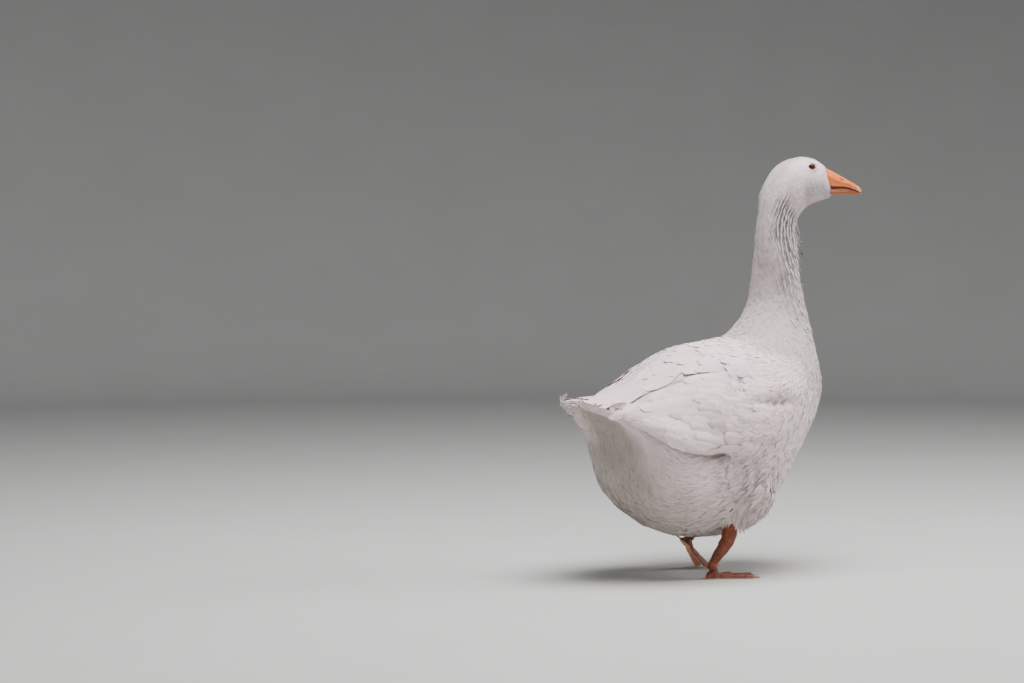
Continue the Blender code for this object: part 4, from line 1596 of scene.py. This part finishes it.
@dataclass
class Wing:
    """The feathers of a folded wing, in rows from the shoulder to the tips."""

    plumage: Plumage
    side: Side
    left_rise: float = 0.8
    cut: Cut = Cut(
        12, 9, 0.35, taper=0.34, rounding=0.24, ragged=0.012, camber=0.06, stiff=0.985, climb=0.4, laid=0.9
    )
    # By share of the way along the wing: the station, and the angles of its upper and lower edge.
    stations: Knots = (4.80, 5.20, 5.70, 6.20, 6.60, 6.95, 7.25, 7.60)
    upper: Knots = (1.30, 0.98, 0.86, 0.88, 0.95, 1.14, 1.48, 1.74)
    lower: Knots = (1.72, 1.92, 1.98, 1.95, 2.05, 2.10, 2.06, 2.04)
    rows: tuple[QuillRow, ...] = (
        QuillRow(0.24, 15, 0.052, 0.020, 0.0032),
        QuillRow(0.30, 15, 0.056, 0.021, 0.0033),
        QuillRow(0.36, 15, 0.060, 0.023, 0.0034),
        QuillRow(0.42, 14, 0.066, 0.024, 0.0035, 0.02, 0.96),
        QuillRow(0.49, 13, 0.076, 0.025, 0.0036, 0.00, 0.94),
        QuillRow(0.57, 12, 0.090, 0.026, 0.0038, 0.00, 0.90),
        QuillRow(0.66, 10, 0.104, 0.026, 0.0041, 0.02, 0.86),
        QuillRow(0.76, 8, 0.100, 0.024, 0.0045, 0.08, 0.82),
    )

    def at(self, along: Array, across: Array) -> Pair:
        """Places on the wing.

        Args:
            along: 0 at the shoulder to 1 at the tips.
            across: 0 at the lower edge to 1 at the upper edge.

        Returns:
            The points, and whether each was found.
        """
        knots = np.linspace(0, 1, len(self.stations))
        station = np.interp(along, knots, self.stations)
        low, high = np.interp(along, knots, self.lower), np.interp(along, knots, self.upper)
        angle = self.side.value * (low + (high - low) * across)
        return self.plumage.on_skin(station, angle, self.plumage.body_reach)

    def vanes(self) -> list[Vanes]:
        """All rows; each feather points at the place further along the wing at its own height."""
        rng, made = self.plumage.rng, []
        for row in self.rows:
            across = np.linspace(row.low, row.high, row.count) + rng.uniform(-0.02, 0.02, row.count)
            along = row.place + rng.uniform(-0.034, 0.034, row.count) + 0.02 * across
            roots, found = self.at(along, across)
            ahead, ok = self.at(np.minimum(along + 0.14, 0.97), across + 0.02)
            keep = found & ok
            roots, way = roots[keep], unit(ahead - roots)[keep]
            count = len(roots)
            length = row.length * rng.uniform(0.86, 1.14, count)
            width = row.width * rng.uniform(0.94, 1.06, count)
            rise = row.rise * rng.uniform(0.82, 1.12, count)
            if self.side is Side.LEFT:
                rise = rise * self.left_rise
            tint = self.plumage.tint(roots)
            made.append(Vanes(roots, length, width, rise, self.cut, tint, way, 0.0004, keep=1.0))
        return made

    def build(self) -> Piece:
        """The wing's feathers as one piece."""
        plumage = self.plumage
        return plumage.piece("quills_wing_" + self.side.label, *self.vanes(), finish=plumage.quill)


@dataclass
class Scapulars:
    """Long feathers between the back and each wing, which close over the wing's upper edge."""

    plumage: Plumage
    side: Side
    left_rise: float = 0.7
    steps: Knots = (5.90, 6.12, 6.34, 6.54, 6.72, 6.90, 7.06, 7.18)
    count: int = 8

    def build(self) -> Piece:
        """Rows that run back and outward to the wing's tip."""
        plumage, rng = self.plumage, self.plumage.rng
        shares = np.linspace(0, 1, self.count)
        station, share = (grid.ravel() for grid in np.meshgrid(self.steps, shares, indexing="ij"))
        station = station + rng.uniform(-0.09, 0.09, len(station)) + 0.10 * share
        edge = np.interp(station, (5.1, 6.2, 6.8, 7.0, 7.23), (0.95, 0.92, 1.0, 1.17, 1.55))
        angle = (0.10 + (edge - 0.25) * share) * self.side.value
        roots, found = plumage.on_skin(station, angle, plumage.body_reach)
        turn = np.interp(station, (5.1, 6.4, 7.0), (0.02, 0.08, 0.32)) * (0.3 + 0.7 * share)
        turn = turn * self.side.value
        ahead, ok = plumage.on_skin(station + 0.25, angle + turn, plumage.body_reach)
        keep = found & ok
        roots, way, share, station = roots[keep], unit(ahead - roots)[keep], share[keep], station[keep]
        count = len(roots)
        length = np.interp(station, (5.9, 6.9), (0.052, 0.082)) * rng.uniform(0.9, 1.1, count)
        width = np.interp(station, (5.9, 6.9), (0.022, 0.027)) * rng.uniform(0.92, 1.08, count)
        rise = (0.0030 + 0.0008 * share) * rng.uniform(0.9, 1.1, count)
        if self.side is Side.LEFT:
            rise = rise * self.left_rise
        cut = Cut(11, 8, 0.35, taper=0.34, rounding=0.26, ragged=0.015, stiff=0.98, laid=0.85)
        vanes = Vanes(roots, length, width, rise, cut, plumage.tint(roots), way, 0.0006, keep=-1.0)
        return plumage.piece("scapulars_" + self.side.label, vanes, finish=plumage.quill)


@dataclass
class Tail:
    """The fan of the tail, the coverts over it and the feathers along its rim."""

    plumage: Plumage
    count: int = 16
    # The markings of the rump, a little nearer to the back, colour the whole tail.
    tinted_as: tuple[float, float] = (6.9, 0.8)

    def fan(
        self, station: float, reach: float, inset: float, count: int, width: float, rise: float
    ) -> Vanes:
        """A fan laid over the tail's upper side, from a row of roots to an arc near the tail's end.

        Args:
            station: The roots' station.
            reach: The outermost root's angle from the back.
            inset: How far the tips stay in front of the tail's end.
            count: How many feathers.
            width: A feather's width.
            rise: The height of its tip over the skin.

        Returns:
            The fan's feathers.
        """
        plumage, rng = self.plumage, self.plumage.rng
        low, high = extent("tail")
        share = np.linspace(-1, 1, count)
        roots, _ = plumage.on_skin(np.full(count, station), share * reach, plumage.tail_reach)
        ragged = rng.uniform(-0.0022, 0.0022, count)
        tips = np.stack([
            low[0] + inset + 0.030 * share**2 + ragged,
            share * 0.050,
            high[2] - 0.003 - 0.020 * np.abs(share) ** 1.6,
        ], -1)
        away = tips - roots
        widths = width * rng.uniform(0.95, 1.05, count)
        rises = rise * rng.uniform(0.85, 1.15, count)
        cut = Cut(14, 9, taper=0.22, rounding=0.22, ragged=0.02, stiff=1.0, laid=0.55)
        length, tint = np.linalg.norm(away, axis=1), plumage.tint(roots, *self.tinted_as)
        return Vanes(roots, length, widths, rises, cut, tint, unit(away), 0.0010, plumage.skin.top)

    def rim(self) -> Vanes:
        """Feathers that follow the tail's rim on both sides, and stand out over the hollow under it."""
        plumage, rng = self.plumage, self.plumage.rng
        steps = np.arange(7.10, 7.62, 0.026)
        station, side = np.tile(steps, 2), np.repeat([1.0, -1.0], len(steps))
        angles = side * (plumage.markings.tail_rim(station) - 0.10)
        roots, _ = plumage.on_skin(station, angles, plumage.tail_reach)
        low, high = extent("tail")
        count = len(roots)
        corner = side[:, None] * 0.047 * LEFT + (low[0] + 0.020, 0, high[2] - 0.020)
        room = np.linalg.norm(corner - roots, axis=1)
        length, width = rng.uniform(0.040, 0.052, count), rng.uniform(0.0095, 0.0125, count)
        length, rise = np.minimum(length, 0.74 * room), rng.uniform(0.0014, 0.0022, count)
        cut = Cut(9, 6, 0.5, taper=0.60, rounding=0.45, ragged=0.02, camber=0.10, stiff=0.90)
        tint, way = plumage.tint(roots, *self.tinted_as), unit(corner - roots)
        return Vanes(roots, length, width, rise, cut, tint, way, 0.0004, plumage.skin.top)

    def build(self) -> Iterator[Piece]:
        """The fan with its rim, and the coverts."""
        plumage = self.plumage
        fan = self.fan(7.42, 1.68, 0.001, self.count, 0.022, 0.0032)
        yield plumage.piece("quills_tail", fan, self.rim(), finish=plumage.quill)
        yield plumage.piece(
            "coverts_tail",
            self.fan(7.24, 1.20, 0.030, 13, 0.024, 0.0042),
            self.fan(7.06, 0.90, 0.058, 11, 0.026, 0.0050),
            finish=plumage.quill,
        )


# ---- the bill ----
@dataclass
class HeadFrame:
    """Directions of the turned head, from its two eyes and the bill's tip."""

    def __post_init__(self) -> None:
        """Reads the directions off the solids."""
        self.eyes = {side: middle("eye_" + side.label) for side in Side}
        self.left = unit((self.eyes[Side.LEFT] - self.eyes[Side.RIGHT]) * (1, 1, 0))
        self.ahead = np.cross(self.left, UP)
        bill, _ = merged("bill_upper")
        reach = bill @ self.ahead
        self.tip = bill[reach > reach.max() - 0.0004].mean(0)


@dataclass
class Bill:
    """The goose's bill: both halves, with ridge, nail, nostrils and cutting edge."""

    head: HeadFrame
    length: float = 0.0655
    drop: float = math.radians(13.9)
    lean: float = math.radians(13.0)
    # From the face to the tip: heights over the base line and half widths.
    culmen: Knots = (0.0270, 0.0218, 0.0170, 0.0122, 0.0077, 0.0035)
    mouth: Knots = (-0.0135, -0.0105, -0.0065, -0.0042, -0.0048, -0.0058)
    chin: Knots = (-0.0265, -0.0228, -0.0190, -0.0155, -0.0122, -0.0090)
    upper_width: Knots = (0.0200, 0.0184, 0.0168, 0.0154, 0.0130, 0.0085)
    lower_width: Knots = (0.0180, 0.0162, 0.0146, 0.0130, 0.0106, 0.0070)
    tip_fall: float = 0.0022
    rows: int = 90
    columns: int = 72
    orange: Colour = (0.49, 0.108, 0.012)
    pale: Colour = (0.58, 0.245, 0.120)
    dark: Colour = (0.16, 0.030, 0.018)

    def curve(self, values: Knots, run: Array) -> Array:
        """Catmull-Rom through the values, read at shares of the bill's length; flat before the face."""
        return curve_through(np.array(values), np.clip(run, 0, 1) * (len(values) - 1))

    def half(self, upper: bool) -> Triple:
        """One half: superellipse sections carried from inside the face to the tip.

        Args:
            upper: Whether it is the upper half.

        Returns:
            Points, faces and colours.
        """
        run = -0.16 + 1.16 * np.linspace(0, 1, self.rows) ** 0.9
        angle = turns(self.columns)
        c, s = np.cos(angle), np.sin(angle)
        top = self.curve(self.culmen, run) if upper else self.curve(self.mouth, run) - 0.0009
        bottom = self.curve(self.mouth, run) if upper else self.curve(self.chin, run)
        width = self.curve(self.upper_width if upper else self.lower_width, run)[:, None]
        power = np.where(s > 0, 1.75, 5.0) if upper else np.where(s > 0, 5.0, 2.1)
        section = np.sign(c) * np.abs(c) ** (2 / power), np.sign(s) * np.abs(s) ** (2 / power)
        centre, reach = (top + bottom)[:, None] / 2, (top - bottom)[:, None] / 2
        shape = np.stack([width * section[0], reach * section[1]], -1)
        along, around = np.broadcast_arrays(run[:, None], np.arctan2(s, np.abs(c)))
        nostril = hill(along, 0.425, 0.066) * hill(around, 0.54 - 0.9 * (along - 0.425), 0.15)
        out = self.details(upper, along, around, np.abs(c), nostril)
        close = np.sqrt(np.clip(1 - (np.clip(run - 0.90, 0, None) / 0.1003) ** 2, 0.0, 1))
        close = close * (1 - 0.10 * ease(0.0, -0.10, run))
        shape = shape * (1 + out / np.maximum(np.linalg.norm(shape, axis=-1), 1e-6))[..., None]
        shape = shape * close[:, None, None]
        height = centre + shape[..., 1]
        if upper:
            height = height - self.tip_fall * ease(0.80, 1.0, run)[:, None]
        faces = grid_faces(self.rows, self.columns, True)[:, ::-1]
        return self.set_in(run, shape[..., 0], height), faces, self.tint(upper, along, around, nostril)

    def details(self, upper: bool, along: Array, around: Array, beside: Array, nostril: Array) -> Array:
        """How far the surface stands out of its plain section.

        Details are bells in the way along and the angle round the section: the nostrils and the
        groove behind the nail sink in, the nail, the ridge and the cutting edge stand out.

        Args:
            upper: Whether it is the upper half.
            along: The share of the bill's length.
            around: The angle over the horizontal, the same on both sides.
            beside: 1 at the sides, 0 on the ridge and below.
            nostril: 1 in a nostril.

        Returns:
            A height for each point.
        """
        edge = hill(around, -0.42 if upper else 0.42, 0.16) * ease(0.95, 0.86, along)
        if not upper:
            groove = hill(around, 0.10, 0.18) * ease(0.95, 0.8, along)
            keel = hill(beside, 0.0, 0.25) * (around < 0) * ease(0.85, 0.6, along)
            return 0.0003 * edge - 0.0006 * groove - 0.0008 * keel
        groove = hill(along, 0.40, 0.17) * hill(around, 0.50 - 0.5 * (along - 0.4), 0.36)
        curved, above = along - 0.05 * beside**2, ease(-0.1, 0.5, around)
        nail, border = ease(0.845, 0.865, curved) * above, hill(curved, 0.845, 0.010) * above
        ridge = hill(around, math.pi / 2, 0.30) * ease(0.8, 0.5, along)
        raised = 0.0005 * nail + 0.0007 * edge + 0.0004 * ridge
        return raised - 0.0028 * nostril - 0.0009 * groove - 0.0004 * border

    def set_in(self, run: Array, across: Array, height: Array) -> Array:
        """Sections in their places: square to the face at the root, upright at the tip.

        Args:
            run: Each section's share of the bill's length.
            across: Each point's way to the left.
            height: Its height over the base line.

        Returns:
            The points.
        """
        share = np.clip(run, 0, 1)[:, None]
        forward = self.head.ahead * math.cos(self.drop) - UP * math.sin(self.drop)
        raised = UP * math.cos(self.lean) - self.head.ahead * math.sin(self.lean)
        base = self.head.tip + UP * 0.00215 + forward * ((run - 1) * self.length)[:, None]
        points = base[:, None] + blend(raised, UP, share)[:, None] * height[..., None]
        return (points + self.head.left * across[..., None]).reshape(-1, 3)

    def tint(self, upper: bool, along: Array, around: Array, nostril: Array) -> Array:
        """Orange, paler on the nail and edges, with a painted highlight on the ridge; painted shade in the
        nostrils, along the mouth, at the root and over the lower half.
        """
        orange, pale, dark = (np.array(colour) for colour in (self.orange, self.pale, self.dark))
        if upper:
            # Upper half: the ridge's paleness is a painted highlight and the nail's is its own; nostrils,
            # mouth line and root are painted darker, as shade.
            light = 0.70 * ease(1.05, 1.45, around) + 0.80 * ease(0.80, 0.92, along)
            light = light + 0.45 * hill(around, -0.28, 0.14)
            shade = 1.3 * nostril + 0.85 * ease(-0.46, -0.60, around) + 0.25 * ease(0.10, 0.0, along)
        else:
            # Lower half: painted darker all over as shade, more along the mouth and on its underside, with
            # a paler band by the mouth and a paler nail.
            light = 0.85 * hill(around, 0.28, 0.22) + 0.5 * ease(0.85, 0.97, along)
            shade = 0.35 + 0.65 * ease(0.50, 0.75, around) + 0.35 * ease(-0.2, -1.2, around)
        light, shade = (np.clip(value, 0, 1)[..., None] for value in (light, shade))
        return blend(blend(orange, pale, light), dark, shade).reshape(-1, 3)

    def build(self) -> Iterator[Piece]:
        """Both halves."""
        for upper, node in ((True, "bill_upper"), (False, "bill_lower")):
            points, faces, tint = self.half(upper)
            finish = BillFinish("bill_horn")
            yield Piece("horn_" + node, points, faces, finish, "bill", tint=tint, replaces=(node,))


# ---- eyes and claws ----
@dataclass
class Eyes:
    """Eyeballs with iris, pupil and cornea, and the orange lids round them."""

    skin: Skin
    head: HeadFrame
    markings: Markings
    opening: tuple[float, float] = (0.0063, 0.0055)
    proud: float = 0.0014
    ball_grid: tuple[int, int] = (40, 48)
    lid_grid: tuple[int, int] = (14, 72)
    black: Colour = (0.004, 0.003, 0.003)
    border: Colour = (0.03, 0.012, 0.010)
    brown: Colour = (0.036, 0.0085, 0.0055)
    rim: Colour = (0.62, 0.230, 0.110)

    def axes(self, side: Side) -> Quad:
        """The eye's middle, the way it looks, and the directions ahead and up across it.

        The eyeball is moved in until it stands out of the skin by no more than the wanted height.

        Args:
            side: Which eye.

        Returns:
            The middle, and the directions outward, ahead and up.
        """
        eye, aside, radius = self.head.eyes[side], self.head.left * side.value, self.radius(side)
        _, normal, _ = self.skin.field.read((eye + aside * radius)[None])
        outward = unit(0.75 * normal[0] + 0.25 * aside)
        proud, _, _ = self.skin.field.read((eye + outward * radius)[None])
        eye = eye - outward * max(float(proud[0]) - self.proud, 0.0)
        ahead = across_of(self.head.ahead, outward)
        up = across_of(UP - (UP @ ahead) * ahead, outward)
        return eye, outward, ahead, up

    def radius(self, side: Side) -> float:
        """Half the solid eye's largest measure."""
        low, high = extent("eye_" + side.label)
        return float((high - low).max() / 2)

    def ball(self, side: Side) -> Piece:
        """A sphere whose front bulges as a cornea: rings of growing angle from the way it looks."""
        eye, outward, ahead, up = self.axes(side)
        rings, columns = self.ball_grid
        tilt, turn = np.meshgrid(np.linspace(0.0, math.pi, rings), turns(columns), indexing="ij")
        tilt, turn = tilt[..., None], turn[..., None]
        swell = self.radius(side) * (1 + 0.07 * np.exp(-((tilt / 0.55) ** 4)))
        away = np.cos(turn) * ahead + np.sin(turn) * up
        points = eye + swell * (np.cos(tilt) * outward + np.sin(tilt) * away)
        pupil, limbus, ring = 1 - ease(0.40, 0.46, tilt), ease(0.66, 0.82, tilt), hill(tilt, 0.48, 0.09)
        tint = blend(np.array(self.brown) * (1 + 0.8 * ring), np.array(self.black), pupil)
        tint = blend(tint, np.array(self.border), limbus).reshape(-1, 3)
        name, faces = "eye_" + side.label, self.outward(grid_faces(rings, columns, True), side)
        finish = EyeFinish("eye_wet")
        points = points.reshape(-1, 3)
        return Piece("ball_" + name, points, faces, finish, "eye", tint=tint, replaces=(name,))

    def outward(self, faces: Array, side: Side) -> Array:
        """Faces that look out of the head on this side."""
        return faces if side is Side.LEFT else faces[:, ::-1]

    def lids(self, side: Side) -> Triple:
        """A ring that rises from the skin, rolls over and tucks in against the eyeball.

        The opening is an ellipse drawn to soft corners ahead and behind.

        Args:
            side: Which eye.

        Returns:
            Points, faces and colours.
        """
        eye, outward, ahead, up = self.axes(side)
        radius, (rings, columns) = self.radius(side), self.lid_grid
        depth, _, _ = self.skin.field.read((eye + outward * radius)[None])
        share, turn = np.linspace(0, 1, rings)[:, None], turns(columns)
        corner = 1 + 0.10 * np.abs(np.cos(turn)) ** 6
        reach = -0.0006 + 0.0044 * share
        across = (self.opening[0] * corner + reach) * np.cos(turn)
        rise = (self.opening[1] + reach) * np.sin(turn)
        ball = np.sqrt(np.maximum(radius**2 - across**2 - rise**2, 0.0))
        level = blend(ball, radius - depth[0], ease(0.12, 0.8, share))
        fold = 0.0010 * hill(share, 0.26, 0.13) + 0.0004 * hill(share, 0.60, 0.10)
        level = level + fold - 0.0006 * hill(share, 0.0, 0.10) - 0.0008 * ease(0.8, 1.0, share)
        points = eye + level[..., None] * outward + across[..., None] * ahead + rise[..., None] * up
        flat = points.reshape(-1, 3)
        settled = self.skin.field.lay(flat, np.full(len(flat), 0.0004), 4).reshape(points.shape)
        points = blend(points, settled, ease(0.25, 0.85, share)[..., None])
        front = 0.5 + 0.5 * np.cos(turn)
        bare = (1 - ease(0.18, 0.42, share - 0.22 * front**3))[..., None]
        rim = np.array(self.rim) * (0.30 + 0.75 * front**2)[:, None]
        tint = blend(np.array(self.markings.white), rim, bare)
        faces = self.outward(grid_faces(rings, columns, True), side)
        return points.reshape(-1, 3), faces, tint.reshape(-1, 3)

    def build(self) -> Iterator[Piece]:
        """Both eyeballs and the lids."""
        made = [self.lids(side) for side in Side]
        points, faces = stacked([(points, faces) for points, faces, _ in made])
        tint = np.vstack([colours for _, _, colours in made])
        bare = np.full(len(points), 0.35)
        yield Piece("lids", points, faces, SkinFinish("skin"), "leg_skin", {"bare": bare}, tint)
        for side in Side:
            yield self.ball(side)


@dataclass
class Claws:
    """The short claws, rounded off and enlarged about their tips."""

    toes: tuple[str, ...] = ("inner", "middle", "outer", "hind")
    grown: float = 1.45
    finish: PlainFinish = PlainFinish("claw_horn", (0.30, 0.20, 0.145), 0.38, 0.25, 400.0)

    def build(self) -> Piece:
        """All eight as one piece."""
        nodes = tuple(f"claw_{toe}_{side.label}" for toe in self.toes for side in Side)
        made = []
        for node in nodes:
            points, faces = through_modifier(*merged(node), "SUBSURF", levels=2, render_levels=2)
            foot = middle("foot_" + node.rsplit("_", 1)[1])
            tip = points[np.argmax(np.linalg.norm(points - foot, axis=1))]
            made.append((tip + (points - tip) * self.grown, faces))
        points, faces = stacked(made)
        return Piece("claws", points, faces, self.finish, "claws", replaces=nodes)


# ---- the studio ----
@dataclass(frozen=True)
class Studio:
    """Floor, light and camera."""

    lens: float = 85.0
    bearing: float = math.radians(33.2)
    distance: float = 4.551
    aside: float = -0.358
    height: float = 0.611
    pitch: float = math.radians(2.167)
    aim_height: float = 0.35

    def floor(self) -> None:
        """A round pale floor whose border curves up all round: a profile turned about the middle."""
        rings, columns = 48, 96
        run, turn = np.linspace(0, 1, rings), turns(columns)
        reach, rise = 10.0 * run, 8.0 * ease(0.55, 1.25, run)
        around = np.stack([np.cos(turn), np.sin(turn), np.zeros(columns)], -1)
        grid = reach[:, None, None] * around + rise[:, None, None] * UP
        mesh = raw_mesh("floor", grid.reshape(-1, 3), grid_faces(rings, columns, True))
        mesh.shade_smooth()
        mesh.materials.append(PlainFinish("floor", (0.40, 0.395, 0.385), 0.85, 0.02, 3.0).material())
        placed("floor", mesh)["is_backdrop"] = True

    def lights(self) -> None:
        """Broad soft lamps overhead, in front and at the side, and a pale grey surround."""
        world = bpy.data.worlds.new("studio")
        world.use_nodes = True
        surround = world.node_tree.nodes["Background"]
        Wiring(world.node_tree).fill(surround, {"Color": (0.93, 0.96, 1.0, 1.0), "Strength": 0.25})
        bpy.context.scene.world = world
        for name, place, size, power in (
            ("overhead", (-0.1, -0.5, 3.1), 1.8, 258.0),
            ("front", (-2.4, -3.4, 1.8), 2.0, 52.0),
            ("side", (3.2, -1.6, 1.8), 2.0, 129.0),
        ):
            light = bpy.data.lights.new(name, "AREA")
            light.size = size
            light.energy = power
            lamp = placed(name, light)
            lamp.location = place
            aim = unit(UP * self.aim_height - place)
            lamp.rotation_euler = (math.acos(-aim[2]), 0.0, math.atan2(aim[1], aim[0]) - math.pi / 2)

    def camera(self) -> None:
        """The view from behind the goose's right shoulder."""
        ahead = np.array([math.sin(self.bearing), math.cos(self.bearing), 0.0])
        right = np.cross(ahead, UP)
        data = bpy.data.cameras.new("camera")
        data.lens = self.lens
        data.sensor_width = 36.0
        view = placed("camera", data)
        view.location = ahead * -self.distance + right * self.aside + UP * self.height
        view.rotation_euler = (math.pi / 2 - self.pitch, 0.0, -self.bearing)
        bpy.context.scene.camera = view


def main() -> None:
    """Builds skin, feathers, bill, eyes and claws, then the studio."""
    logging.basicConfig(level=logging.INFO, format="%(message)s")
    line = BodyLine()
    markings = Markings()
    skin = Skin(line, markings)
    skin.build()
    skin.dress()
    plumage = Plumage(skin, line, markings)
    head = HeadFrame()
    pieces = [*plumage.build(), *Tail(plumage).build()]
    for side in Side:
        pieces += [Wing(plumage, side).build(), Scapulars(plumage, side).build()]
    pieces += [*Bill(head).build(), *Eyes(skin, head, markings).build(), Claws().build()]
    for piece in pieces:
        piece.show()
    studio = Studio()
    studio.floor()
    studio.lights()
    studio.camera()
    [[list(map(float, corner)) for corner in box] for box in (CAD_BOX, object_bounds())]


if __name__ == "__main__":
    main()
